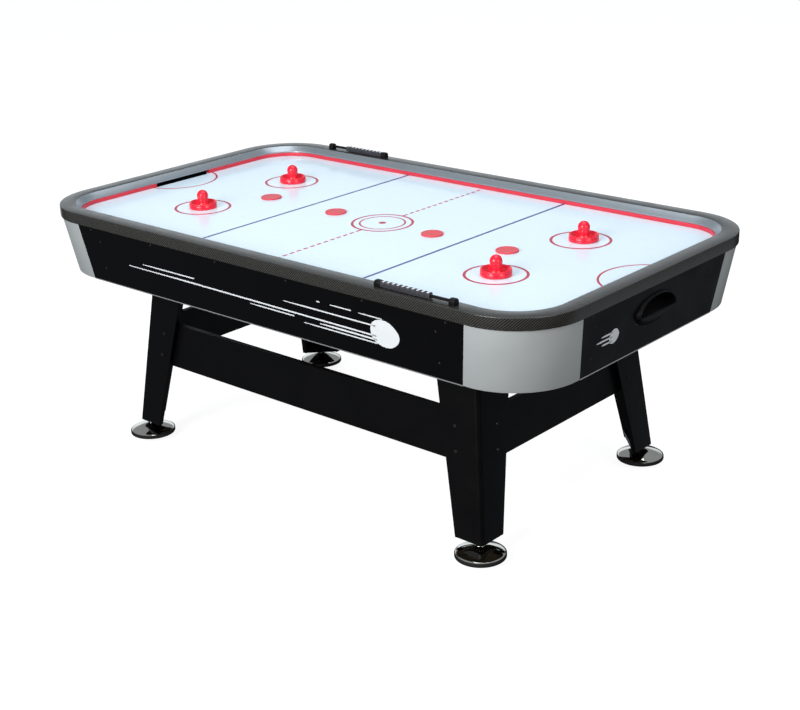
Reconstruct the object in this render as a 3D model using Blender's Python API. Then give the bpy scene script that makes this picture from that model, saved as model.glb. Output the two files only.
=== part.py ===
"""Air hockey table on four splayed legs, with its mallets, pucks and sliding bead scorers.

X runs along the table, Y across it and Z up. The origin is on the floor under the middle of the table.
Every length is in metres. "Inset" is a distance measured inwards from the outer edge of the top rails.
"""

import math

import bmesh
import bpy
from mathutils import Vector

# Whole table
LENGTH = 2.13
WIDTH = 1.228
HEIGHT = 0.835  # floor to the flat top of the rails
GAP = 0.0003  # air left between pieces that touch

# Top rails
RAIL_WIDTH = 0.054
RAIL_HEIGHT = 0.037
RAIL_RADIUS = 0.218  # outer bend of the corner rails
RAIL_BEVEL = 0.0015
CORNER_TAIL = 0.0155  # straight run of a corner piece past its bend
CORNER_STEPS = 14

# Aluminium liner on the inner side of the rails, and the red bumper strip under it
LINER_WIDTH = 0.018
LINER_LIP = 0.002
LINER_NOSE = 0.0045
BUMPER_INSET = 0.076  # to the face that the puck hits
BUMPER_HEIGHT = 0.0124
BUMPER_ROUND = 0.002

# Playfield and the air tray under it
FIELD_DEPTH = 0.0356  # rail top down to the playing surface
FIELD_THICKNESS = 0.012
FIELD_EDGE_CLEARANCE = 0.0015
TRAY_DEPTH = 0.045
TRAY_WALL = 0.012
TRAY_RIB = 0.018
TRAY_RIB_SPACING = 0.48
TRAY_AIRWAY = 0.08  # gap between a rib's end and the side wall
TRAY_FIT = 0.0005

# Skirt: four aprons and four corner caps, leaning inwards towards the floor
SKIRT_INSET = 0.005
SKIRT_HEIGHT = 0.194
SKIRT_TAPER = 0.028
SKIRT_THICKNESS = 0.015

# Goals
GOAL_WIDTH = 0.26
GOAL_RAIL_WALL = 0.02  # outer wall left in the end rail over the goal
GOAL_BOX_DEPTH = 0.098
GOAL_BOX_WALL = 0.003
POCKET_WIDTH = 0.184
POCKET_FLOOR = 0.1215  # rail top down to the floor of the pocket
POCKET_SIDE = 0.0035  # straight side under the arched top
POCKET_ARCH = 0.046
POCKET_SCOOP = 4.2  # depth of the rounded lip under the pocket, in widths of its frame
POCKET_FRAME = 0.009
POCKET_FACE_INSET = 0.002
POCKET_STEPS = 14

# Legs: two boards on edge, joined at the outer corner, leaning outwards towards the floor
LEG_FOOT_Z = 0.0495
LEG_FOOT_INSET_X = 0.2865
LEG_FOOT_INSET_Y = 0.146
LEG_LEAN_X = 0.1176
LEG_LEAN_Y = 0.1125
LEG_BOARD = 0.018
LEG_WIDTH_FOOT = 0.1035
LEG_WIDENING = 0.104  # extra width for each metre of height
LEG_ROUND = 0.015
LEG_BLOCK = 0.030  # height of the corner block that takes the leveler

# Stretchers
STRETCHER_LOW = 0.2763
STRETCHER_HIGH = 0.4275
STRETCHER_BOARD = 0.018

# Levelers
LEVELER_RADIUS = 0.078
LEVELER_PAD_RADIUS = 0.079
LEVELER_PAD_HEIGHT = 0.010
LEVELER_FROM_CORNER = 0.030
LEVELER_STEM_RADIUS = 0.005
LEVELER_STEM_CLEARANCE = 0.0006
LEVELER_TRAVEL = 0.02
LEVELER_STEM_COVER = 0.006  # stem left in the block when the leveler is right down

# Blower
BLOWER_RADIUS = 0.105
BLOWER_HEIGHT = 0.078
BLOWER_WALL = 0.003
BLOWER_INTAKE = 0.055
BLOWER_OUTLET = 0.05
MOTOR_RADIUS = 0.026
MOTOR_SHAFT_RADIUS = 0.003
IMPELLER_RADIUS = 0.09
IMPELLER_HUB = 0.032
IMPELLER_BLADES = 12
IMPELLER_BLADE = 0.003
IMPELLER_CLEARANCE = 0.0005

# Power panel on the back apron
PANEL_X = 0.0
PANEL_DROP = 0.078  # rail bottom down to the middle of the panel
PANEL_WIDTH = 0.07
PANEL_TALL = 0.034
PANEL_FLANGE = 0.004  # cover past the hole, all round
PANEL_PLATE = 0.003
PANEL_DEPTH = 0.02
ROCKER_OFFSET = -0.018
ROCKER_WIDTH = 0.0125
ROCKER_LENGTH = 0.019
ROCKER_TILT = math.radians(8)
ROCKER_CLEARANCE = 0.0012
JACK_OFFSET = 0.018
JACK_RADIUS = 0.0045

# Mallets and pucks
MALLET_RADIUS = 0.0475
MALLET_HEIGHT = 0.062
MALLET_KNOB_RADIUS = 0.0195
MALLET_RIM_HEIGHT = 0.0205
MALLET_PLACES = {
    "front_left": (-0.637, -0.219),
    "back_left": (-0.637, 0.221),
    "front_right": (0.643, -0.222),
    "back_right": (0.647, 0.224),
}
PUCK_RADIUS = 0.0365
PUCK_HEIGHT = 0.0052
PUCK_PLACES = {"1": (-0.534, 0.010), "2": (-0.212, 0.001), "3": (0.222, -0.009), "4": (0.526, -0.013)}

# Scorers on the long rails: ten square beads on a rod between two brackets
SCORER_START = 0.500
SCORER_LENGTH = 0.290
BRACKET_LENGTH = 0.020
BRACKET_WIDTH = 0.024
BRACKET_HEIGHT = 0.0195
ROD_RADIUS = 0.0045
ROD_HEIGHT = 0.0103
BEADS = 10
BEAD_LENGTH = 0.018
BEAD_SIZE = 0.018
BEAD_GROOVE = 0.0018
BEAD_EDGE = 0.0022
BEAD_BORE = 0.0053

HALF_X = LENGTH / 2
HALF_Y = WIDTH / 2
RAIL_BOTTOM = HEIGHT - RAIL_HEIGHT
FIELD_Z = HEIGHT - FIELD_DEPTH
FIELD_UNDER = FIELD_Z - FIELD_THICKNESS
BUMPER_TOP = FIELD_Z + GAP + BUMPER_HEIGHT
LINER_INSET = RAIL_WIDTH + GAP
FIELD_INSET = RAIL_WIDTH + FIELD_EDGE_CLEARANCE
TRAY_BOTTOM = FIELD_UNDER - GAP - TRAY_DEPTH
SKIRT_TOP = RAIL_BOTTOM - GAP
SKIRT_BOTTOM = SKIRT_TOP - SKIRT_HEIGHT
SKIRT_SLOPE = SKIRT_TAPER / SKIRT_HEIGHT
SKIRT_ANGLE = math.atan(SKIRT_SLOPE)
SKIRT_RADIUS = RAIL_RADIUS - SKIRT_INSET
SEAM_X = HALF_X - RAIL_RADIUS - CORNER_TAIL
SEAM_Y = HALF_Y - RAIL_RADIUS - CORNER_TAIL
BLOWER_TOP = TRAY_BOTTOM - GAP
BLOWER_BOTTOM = BLOWER_TOP - BLOWER_HEIGHT
ROUND = 28  # sides of turned pieces


def clear_scene():
    for thing in list(bpy.data.objects):
        bpy.data.objects.remove(thing)


def make_material(name, colour, roughness, metallic=0.0):
    material = bpy.data.materials.new(name)
    material.use_nodes = True
    shader = material.node_tree.nodes["Principled BSDF"]
    shader.inputs["Base Color"].default_value = (*colour, 1)
    shader.inputs["Roughness"].default_value = roughness
    shader.inputs["Metallic"].default_value = metallic
    material.diffuse_color = (*colour, 1)
    return material


def add_object(name, points, faces, material, origin=(0, 0, 0)):
    """A closed mesh from points in table coordinates, with its origin where a joint needs it."""
    base = Vector(origin)
    shape = bmesh.new()
    corners = [shape.verts.new(Vector(point) - base) for point in points]
    for face in faces:
        shape.faces.new([corners[index] for index in face])
    bmesh.ops.recalc_face_normals(shape, faces=shape.faces)
    mesh = bpy.data.meshes.new(name)
    shape.to_mesh(mesh)
    shape.free()
    mesh.shade_smooth()
    mesh.set_sharp_from_angle(angle=math.radians(32))
    mesh.materials.append(material)
    thing = bpy.data.objects.new(name, mesh)
    thing.location = base
    bpy.context.collection.objects.link(thing)
    return thing


def loft(rings):
    """Points and faces of the closed body through matching rings of points, with flat ends."""
    count = len(rings[0])
    points = [point for ring in rings for point in ring]
    faces = [list(range(count)), [len(points) - count + k for k in range(count)]]
    for row in range(len(rings) - 1):
        for k in range(count):
            a = row * count + k
            b = row * count + (k + 1) % count
            faces.append([a, b, b + count, a + count])
    return points, faces


def hollow_loft(outer, inner):
    """The same with a hole all the way through: outer and inner have matching rings."""
    count = len(outer[0])
    points = [point for ring in outer + inner for point in ring]
    shift = len(outer) * count
    faces = []
    for start, rings in ((0, outer), (shift, inner)):
        for row in range(len(rings) - 1):
            for k in range(count):
                a = start + row * count + k
                b = start + row * count + (k + 1) % count
                faces.append([a, b, b + count, a + count])
    for first, second in ((0, shift), (shift - count, shift + (len(inner) - 1) * count)):
        for k in range(count):
            follow = (k + 1) % count
            faces.append([first + k, first + follow, second + follow, second + k])
    return points, faces


def add_loft(name, rings, material, origin=(0, 0, 0)):
    points, faces = loft(rings)
    return add_object(name, points, faces, material, origin)


def add_box(name, low, high, material):
    (x0, y0, z0), (x1, y1, z1) = low, high
    rings = [[(x0, y0, z), (x1, y0, z), (x1, y1, z), (x0, y1, z)] for z in (z0, z1)]
    return add_loft(name, rings, material)


def plug_profile(radius, low, high):
    """Profile of a plain round plug, for boring a hole."""
    return [(0, low), (radius, low), (radius, high), (0, high)]


def add_turned(name, profile, centre, material, sides=ROUND, origin=None):
    """A body turned about the vertical through centre. The profile runs from axis to axis, (radius, z)."""
    cx, cy = centre
    points = []
    rows = []
    for radius, z in profile:
        if radius == 0:
            rows.append([len(points)])
            points.append((cx, cy, z))
            continue
        rows.append([len(points) + k for k in range(sides)])
        for k in range(sides):
            angle = math.tau * k / sides
            points.append((cx + radius * math.cos(angle), cy + radius * math.sin(angle), z))
    faces = []
    for below, above in zip(rows, rows[1:]):
        for k in range(sides):
            follow = (k + 1) % sides
            if len(below) == 1:
                faces.append([below[0], above[follow], above[k]])
            elif len(above) == 1:
                faces.append([below[k], below[follow], above[0]])
            else:
                faces.append([below[k], below[follow], above[follow], above[k]])
    return add_object(name, points, faces, material, origin or (cx, cy, 0))


def add_turned_ring(name, profile, centre, material, sides=ROUND):
    """A body turned from a closed profile that stays clear of the axis."""
    cx, cy = centre
    rings = []
    for k in range(sides):
        angle = math.tau * k / sides
        rings.append([(cx + r * math.cos(angle), cy + r * math.sin(angle), z) for r, z in profile])
    points = [point for ring in rings for point in ring]
    count = len(profile)
    faces = []
    for row in range(sides):
        following = (row + 1) % sides
        for k in range(count):
            step = (k + 1) % count
            here = row * count
            there = following * count
            faces.append([here + k, here + step, there + step, there + k])
    return add_object(name, points, faces, material)


def join_or_cut(thing, tool, operation):
    """A Boolean with a helper that isn't part of the table itself."""
    tool.hide_render = True
    tool.display_type = "WIRE"
    modifier = thing.modifiers.new(tool.name, "BOOLEAN")
    modifier.object = tool
    modifier.operation = operation
    modifier.solver = "EXACT"


def cut(thing, tool):
    join_or_cut(thing, tool, "DIFFERENCE")


def join(thing, tool):
    join_or_cut(thing, tool, "UNION")


# The outline of the table top, as stations: a point on the outer edge and the direction out of it


def bend_stations(side_x, side_y, tail, steps=CORNER_STEPS):
    """From the long side, round one corner, to the short side."""
    centre_x = HALF_X - RAIL_RADIUS
    centre_y = HALF_Y - RAIL_RADIUS
    stations = [(side_x * (centre_x - tail), side_y * HALF_Y, 0, side_y)]
    for k in range(steps + 1):
        angle = math.pi / 2 * (1 - k / steps)
        out_x = side_x * math.cos(angle)
        out_y = side_y * math.sin(angle)
        stations.append(
            (side_x * centre_x + RAIL_RADIUS * out_x, side_y * centre_y + RAIL_RADIUS * out_y, out_x, out_y)
        )
    stations.append((side_x * HALF_X, side_y * (centre_y - tail), side_x, 0))
    return stations


def edge_rings(stations, section):
    """One ring of points for each station, from a section of (inset, z)."""
    return [[(x - inset * nx, y - inset * ny, z) for inset, z in section] for x, y, nx, ny in stations]


def skirt_offset(z):
    """Inset of the skirt's outer face at height z."""
    return SKIRT_INSET + (SKIRT_TOP - z) * SKIRT_SLOPE


def build_rails(material):
    section = [
        (0, RAIL_BOTTOM),
        (0, HEIGHT - RAIL_BEVEL),
        (RAIL_BEVEL, HEIGHT),
        (RAIL_WIDTH - RAIL_BEVEL, HEIGHT),
        (RAIL_WIDTH, HEIGHT - RAIL_BEVEL),
        (RAIL_WIDTH, RAIL_BOTTOM),
    ]
    reach_x = SEAM_X - GAP
    reach_y = SEAM_Y - GAP
    for name, side in (("rail_front", -1), ("rail_back", 1)):
        stations = [(-reach_x, side * HALF_Y, 0, side), (reach_x, side * HALF_Y, 0, side)]
        add_loft(name, edge_rings(stations, section), material)
    for name, side in (("rail_left", -1), ("rail_right", 1)):
        stations = [(side * HALF_X, -reach_y, side, 0), (side * HALF_X, reach_y, side, 0)]
        rail = add_loft(name, edge_rings(stations, section), material)
        inner = side * (HALF_X - RAIL_WIDTH - 0.01)
        outer = side * (HALF_X - GOAL_RAIL_WALL)
        low = (min(inner, outer), -GOAL_WIDTH / 2, RAIL_BOTTOM - 0.01)
        high = (max(inner, outer), GOAL_WIDTH / 2, BUMPER_TOP + GAP)
        cut(rail, add_box(name + "_goal_notch", low, high, material))
    for end, side_x in (("left", -1), ("right", 1)):
        for long_side, side_y in (("front", -1), ("back", 1)):
            stations = bend_stations(side_x, side_y, CORNER_TAIL)
            add_loft(f"rail_corner_{long_side}_{end}", edge_rings(stations, section), material)


def build_liners(material):
    inner = LINER_INSET + LINER_WIDTH
    under = BUMPER_TOP + GAP
    section = [
        (LINER_INSET, under),
        (LINER_INSET, HEIGHT),
        (LINER_INSET + LINER_LIP, HEIGHT),
        (inner, under + LINER_NOSE),
        (inner, under),
    ]
    reach = SEAM_X - GAP
    for name, side in (("liner_front", -1), ("liner_back", 1)):
        stations = [(-reach, side * HALF_Y, 0, side), (reach, side * HALF_Y, 0, side)]
        add_loft(name, edge_rings(stations, section), material)
    for name, side in (("liner_left", -1), ("liner_right", 1)):
        stations = bend_stations(side, -1, CORNER_TAIL)
        stations += reversed(bend_stations(side, 1, CORNER_TAIL))
        add_loft(name, edge_rings(stations, section), material)


def build_bumpers(material):
    back = FIELD_INSET
    front = BUMPER_INSET
    low = FIELD_Z + GAP
    section = [
        (back, low),
        (front - BUMPER_ROUND, low),
        (front, low + BUMPER_ROUND),
        (front, BUMPER_TOP - BUMPER_ROUND),
        (front - BUMPER_ROUND, BUMPER_TOP),
        (back, BUMPER_TOP),
    ]
    for name, side in (("bumper_front", -1), ("bumper_back", 1)):
        tail = HALF_Y - RAIL_RADIUS - GOAL_WIDTH / 2
        left = bend_stations(-1, side, CORNER_TAIL)
        right = bend_stations(1, side, CORNER_TAIL)
        left[-1] = (-HALF_X, left[-2][1] - side * tail, -1, 0)
        right[-1] = (HALF_X, right[-2][1] - side * tail, 1, 0)
        add_loft(name, edge_rings(list(reversed(left)) + right, section), material)


def build_playfield(material):
    outline = []
    for side_x, side_y in ((1, 1), (-1, 1), (-1, -1), (1, -1)):
        bend = bend_stations(side_x, side_y, 0)[1:-1]
        arc = [(x - FIELD_INSET * nx, y - FIELD_INSET * ny) for x, y, nx, ny in bend]
        edge = side_x * (HALF_X - FIELD_INSET)
        notch = side_x * (HALF_X - BUMPER_INSET)
        post = side_y * GOAL_WIDTH / 2
        side_points = [(notch, post), (edge, post)]
        outline += side_points + arc[::-1] if side_x == side_y else arc + side_points[::-1]
    rings = [[(x, y, z) for x, y in outline] for z in (FIELD_UNDER, FIELD_Z)]
    add_loft("playfield", rings, material)


def build_air_tray(material):
    reach_x = HALF_X - GOAL_BOX_DEPTH - 0.005
    reach_y = HALF_Y - skirt_offset(TRAY_BOTTOM) - SKIRT_THICKNESS - TRAY_FIT
    top = FIELD_UNDER - GAP
    bend_x = HALF_X - skirt_offset(TRAY_BOTTOM) - SKIRT_RADIUS
    chamfer = reach_x - bend_x

    def outline(shrink):
        x = reach_x - shrink
        y = reach_y - shrink
        c = chamfer - shrink * (2 - math.sqrt(2))
        quarter = [(x, y - c), (x - c, y)]
        other = [(-px, py) for px, py in reversed(quarter)]
        half = quarter + other
        return half + [(-px, -py) for px, py in half]

    tray = add_loft("air_tray", [[(x, y, z) for x, y in outline(0)] for z in (TRAY_BOTTOM, top)], material)
    floor = TRAY_BOTTOM + TRAY_WALL
    hollow = [[(x, y, z) for x, y in outline(TRAY_WALL)] for z in (floor, top + 0.01)]
    cut(tray, add_loft("air_tray_hollow", hollow, material))
    hole = plug_profile(BLOWER_OUTLET, TRAY_BOTTOM - 0.01, floor + 0.01)
    cut(tray, add_turned("air_tray_blower_hole", hole, (0, 0), material, origin=(0, 0, 0)))
    rib_reach = reach_y - TRAY_WALL - TRAY_AIRWAY
    for number in range(4):
        x = (number - 1.5) * TRAY_RIB_SPACING
        low = (x - TRAY_RIB / 2, -rib_reach, floor - 0.002)
        high = (x + TRAY_RIB / 2, rib_reach, top - GAP)
        join(tray, add_box(f"air_tray_rib_{number}", low, high, material))


def apron_rings(side, along_y):
    """Two rings of an apron: the outer face leans in, and the ends lean in with the corner caps."""
    rings = []
    for z in (SKIRT_BOTTOM, SKIRT_TOP):
        lean = skirt_offset(z)
        half = (SEAM_Y if along_y else SEAM_X) - (lean - SKIRT_INSET) - GAP
        edge = (HALF_X if along_y else HALF_Y) - lean
        inner = edge - SKIRT_THICKNESS
        corners = [(-half, edge), (half, edge), (half, inner), (-half, inner)]
        if along_y:
            rings.append([(side * v, u, z) for u, v in corners])
        else:
            rings.append([(u, side * v, z) for u, v in corners])
    return rings


def build_skirt(apron_material, cap_material):
    aprons = {}
    for name, side, along_y in (
        ("apron_front", -1, False),
        ("apron_back", 1, False),
        ("apron_left", -1, True),
        ("apron_right", 1, True),
    ):
        aprons[name] = add_loft(name, apron_rings(side, along_y), apron_material)
    for end, side_x in (("left", -1), ("right", 1)):
        for long_side, side_y in (("front", -1), ("back", 1)):
            rings = []
            stations = bend_stations(side_x, side_y, CORNER_TAIL)
            for x, y, nx, ny in stations:
                ring = []
                for z, depth in (
                    (SKIRT_BOTTOM, 0),
                    (SKIRT_TOP, 0),
                    (SKIRT_TOP, SKIRT_THICKNESS),
                    (SKIRT_BOTTOM, SKIRT_THICKNESS),
                ):
                    lean = skirt_offset(z) - SKIRT_INSET
                    inset = SKIRT_INSET + depth
                    ring.append((x - inset * nx - side_x * lean, y - inset * ny - side_y * lean, z))
                rings.append(ring)
            add_loft(f"corner_cap_{long_side}_{end}", rings, cap_material)
    return aprons


def pocket_outline(grow):
    """The outline of a puck return as (y, z), grown by a margin: a rounded scoop under an arch."""
    half = POCKET_WIDTH / 2 + grow
    floor = HEIGHT - POCKET_FLOOR
    spring = floor + POCKET_SIDE
    points = []
    for k in range(POCKET_STEPS + 1):
        angle = math.pi * (1 + k / POCKET_STEPS)
        points.append((half * math.cos(angle), floor + grow * POCKET_SCOOP * math.sin(angle)))
    for k in range(POCKET_STEPS + 1):
        angle = math.pi * k / POCKET_STEPS
        points.append((half * math.cos(angle), spring + (POCKET_ARCH + grow) * math.sin(angle)))
    return points


def build_goals(aprons, material):
    """A box under each goal slot that catches the puck, and an arched pocket that hands it back."""
    for end, side in (("left", -1), ("right", 1)):

        def box_front(z, side=side):
            return side * (HALF_X - skirt_offset(z) - SKIRT_THICKNESS - GAP)

        back = side * (HALF_X - GOAL_BOX_DEPTH)
        low = HEIGHT - POCKET_FLOOR - GOAL_BOX_WALL
        high = FIELD_UNDER - GAP
        half = GOAL_WIDTH / 2

        def box_ring(z, y, front_shift, back_shift):
            x0 = back + side * back_shift
            x1 = box_front(z) - side * front_shift
            return [(x0, -y, z), (x1, -y, z), (x1, y, z), (x0, y, z)]

        rings = [box_ring(z, half + GOAL_BOX_WALL, 0, 0) for z in (low, high)]
        box = add_loft(f"goal_box_{end}", rings, material)
        wall = GOAL_BOX_WALL
        rings = [box_ring(z, half, wall, wall) for z in (low + wall, high + 0.01)]
        cut(box, add_loft(f"goal_box_{end}_hollow", rings, material))

        face = side * (HALF_X - POCKET_FACE_INSET)
        opening = pocket_outline(0)
        frame = pocket_outline(POCKET_FRAME)
        deep = side * (HALF_X - GOAL_BOX_DEPTH / 2)
        through = [[(x, y, z) for y, z in opening] for x in (deep, face)]
        cut(box, add_loft(f"goal_box_{end}_mouth", through, material))
        outer = [[(box_front(z) + side * GAP, y, z) for y, z in frame], [(face, y, z) for y, z in frame]]
        inner = [[(box_front(z) + side * GAP, y, z) for y, z in opening], [(face, y, z) for y, z in opening]]
        points, faces = hollow_loft(outer, inner)
        add_object(f"goal_pocket_{end}", points, faces, material)
        hole = [[(x, y, z) for y, z in pocket_outline(POCKET_FRAME + GAP)] for x in (deep, side * HALF_X)]
        cut(aprons[f"apron_{end}"], add_loft(f"apron_{end}_pocket_hole", hole, material))


def leg_corner(z):
    """Distance of a leg's outer corner from the middle of the table, in X and Y, at height z."""
    rise = z - LEG_FOOT_Z
    return HALF_X - LEG_FOOT_INSET_X - rise * LEG_LEAN_X, HALF_Y - LEG_FOOT_INSET_Y - rise * LEG_LEAN_Y


def leg_width(z):
    return LEG_WIDTH_FOOT + (z - LEG_FOOT_Z) * LEG_WIDENING


def leg_ring(z, side_x, side_y):
    x, y = leg_corner(z)
    width = leg_width(z)
    board = LEG_BOARD
    ring = [(x - width, y)]
    steps = 4
    for k in range(steps + 1):
        angle = math.pi / 2 * (1 - k / steps)
        px = x - LEG_ROUND * (1 - math.cos(angle))
        py = y - LEG_ROUND * (1 - math.sin(angle))
        ring.append((px, py))
    ring += [(x, y - width), (x - board, y - width), (x - board, y - board), (x - width, y - board)]
    return [(side_x * px, side_y * py, z) for px, py in ring]


def leg_block_ring(z, side_x, side_y):
    x, y = leg_corner(z)
    near = LEG_BOARD - 0.001
    far = leg_width(z) - 0.002
    ring = [(x - near, y - near), (x - far, y - near), (x - near, y - far)]
    return [(side_x * px, side_y * py, z) for px, py in ring]


def leveler_centre(side_x, side_y):
    x, y = leg_corner(LEG_FOOT_Z)
    return side_x * (x - LEVELER_FROM_CORNER), side_y * (y - LEVELER_FROM_CORNER)


def build_legs(leg_material, chrome_material, pad_material):
    top = TRAY_BOTTOM - GAP
    block_low = LEG_FOOT_Z + 0.001
    block_high = LEG_FOOT_Z + LEG_BLOCK
    stem_top = LEG_FOOT_Z + LEVELER_TRAVEL + LEVELER_STEM_COVER
    for end, side_x in (("left", -1), ("right", 1)):
        for long_side, side_y in (("front", -1), ("back", 1)):
            place = f"{long_side}_{end}"
            rings = [leg_ring(z, side_x, side_y) for z in (LEG_FOOT_Z, top)]
            leg = add_loft(f"leg_{place}", rings, leg_material)
            rings = [leg_block_ring(z, side_x, side_y) for z in (block_low, block_high)]
            join(leg, add_loft(f"leg_{place}_block", rings, leg_material))
            centre = leveler_centre(side_x, side_y)
            bore = LEVELER_STEM_RADIUS + LEVELER_STEM_CLEARANCE
            hole = plug_profile(bore, LEG_FOOT_Z - 0.01, block_high + 0.01)
            cut(leg, add_turned(f"leg_{place}_stem_hole", hole, centre, leg_material, sides=12))

            pad = [
                (0, 0),
                (LEVELER_PAD_RADIUS - 0.0015, 0),
                (LEVELER_PAD_RADIUS, 0.0015),
                (LEVELER_PAD_RADIUS, LEVELER_PAD_HEIGHT),
                (0, LEVELER_PAD_HEIGHT),
            ]
            add_turned(f"leveler_pad_{place}", pad, centre, pad_material)
            base = LEVELER_PAD_HEIGHT + GAP
            dome = [
                (0, base),
                (LEVELER_RADIUS - 0.001, base),
                (LEVELER_RADIUS, base + 0.003),
                (LEVELER_RADIUS * 0.94, base + 0.0062),
                (LEVELER_RADIUS * 0.74, base + 0.0118),
                (LEVELER_RADIUS * 0.48, base + 0.0180),
                (LEVELER_RADIUS * 0.22, base + 0.0245),
                (0.0125, base + 0.0262),
                (0.0125, base + 0.0350),
                (LEVELER_STEM_RADIUS, base + 0.0355),
                (LEVELER_STEM_RADIUS, stem_top),
                (0, stem_top),
            ]
            add_turned(f"leveler_{place}", dome, centre, chrome_material)


def build_stretchers(material):
    levels = (STRETCHER_LOW, STRETCHER_HIGH)
    setback = LEG_BOARD + GAP
    for name, side in (("stretcher_front", -1), ("stretcher_back", 1)):
        rings = []
        for z in levels:
            x, y = leg_corner(z)
            outer = y - setback
            inner = outer - STRETCHER_BOARD
            end = x - setback
            ring = [(-end, outer), (end, outer), (end, inner), (-end, inner)]
            rings.append([(px, side * py, z) for px, py in ring])
        add_loft(name, rings, material)
    for name, side in (("stretcher_left", -1), ("stretcher_right", 1)):
        rings = []
        for z in levels:
            x, y = leg_corner(z)
            outer = x - setback
            inner = outer - STRETCHER_BOARD
            end = y - setback - STRETCHER_BOARD - GAP
            ring = [(outer, -end), (outer, end), (inner, end), (inner, -end)]
            rings.append([(side * px, py, z) for px, py in ring])
        add_loft(name, rings, material)


def build_blower(housing_material, impeller_material):
    low = BLOWER_BOTTOM
    wall = BLOWER_WALL
    shell = [
        (BLOWER_INTAKE, low),
        (BLOWER_RADIUS, low),
        (BLOWER_RADIUS, BLOWER_TOP),
        (BLOWER_OUTLET, BLOWER_TOP),
        (BLOWER_OUTLET, BLOWER_TOP - wall),
        (BLOWER_RADIUS - wall, BLOWER_TOP - wall),
        (BLOWER_RADIUS - wall, low + wall),
        (BLOWER_INTAKE, low + wall),
    ]
    housing = add_turned_ring("blower_housing", shell, (0, 0), housing_material)
    bar = BLOWER_INTAKE + 0.004
    half_bar = 0.005
    low_bar = low + 0.0004
    high_bar = low + wall - 0.0004
    for name, reach_x, reach_y in (("blower_bar_x", bar, half_bar), ("blower_bar_y", half_bar, bar)):
        bar_low = (-reach_x, -reach_y, low_bar)
        bar_high = (reach_x, reach_y, high_bar)
        join(housing, add_box(name, bar_low, bar_high, housing_material))
    plate = low + 0.5 * BLOWER_HEIGHT
    shaft_top = plate + 0.008
    motor = [
        (0, low - 0.006),
        (MOTOR_RADIUS, low - 0.006),
        (MOTOR_RADIUS, plate - 0.006),
        (MOTOR_SHAFT_RADIUS, plate - 0.006),
        (MOTOR_SHAFT_RADIUS, shaft_top),
        (0, shaft_top),
    ]
    join(housing, add_turned("blower_motor", motor, (0, 0), housing_material, sides=16))

    thick = 0.002
    blade_top = BLOWER_TOP - wall - 0.004
    disc = [(0, plate), (IMPELLER_RADIUS, plate), (IMPELLER_RADIUS, plate + thick), (0, plate + thick)]
    impeller = add_turned("blower_impeller", disc, (0, 0), impeller_material)
    star = []
    for blade in range(IMPELLER_BLADES):
        angle = math.tau * blade / IMPELLER_BLADES
        across = (-math.sin(angle), math.cos(angle))
        half = IMPELLER_BLADE / 2
        for radius, offset in ((IMPELLER_HUB, -half), (IMPELLER_RADIUS - 0.002, -half),
                               (IMPELLER_RADIUS - 0.002, half), (IMPELLER_HUB, half)):
            px = radius * math.cos(angle) + offset * across[0]
            py = radius * math.sin(angle) + offset * across[1]
            star.append((px, py))
    rings = [[(x, y, z) for x, y in star] for z in (plate + thick / 2, blade_top)]
    join(impeller, add_loft("blower_blades", rings, impeller_material))
    bore = MOTOR_SHAFT_RADIUS + IMPELLER_CLEARANCE
    hole = [(0, plate - 0.01), (bore, plate - 0.01), (bore, shaft_top + 0.002), (0, shaft_top + 0.002)]
    cut(impeller, add_turned("blower_shaft_hole", hole, (0, 0), impeller_material, sides=16))


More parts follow.
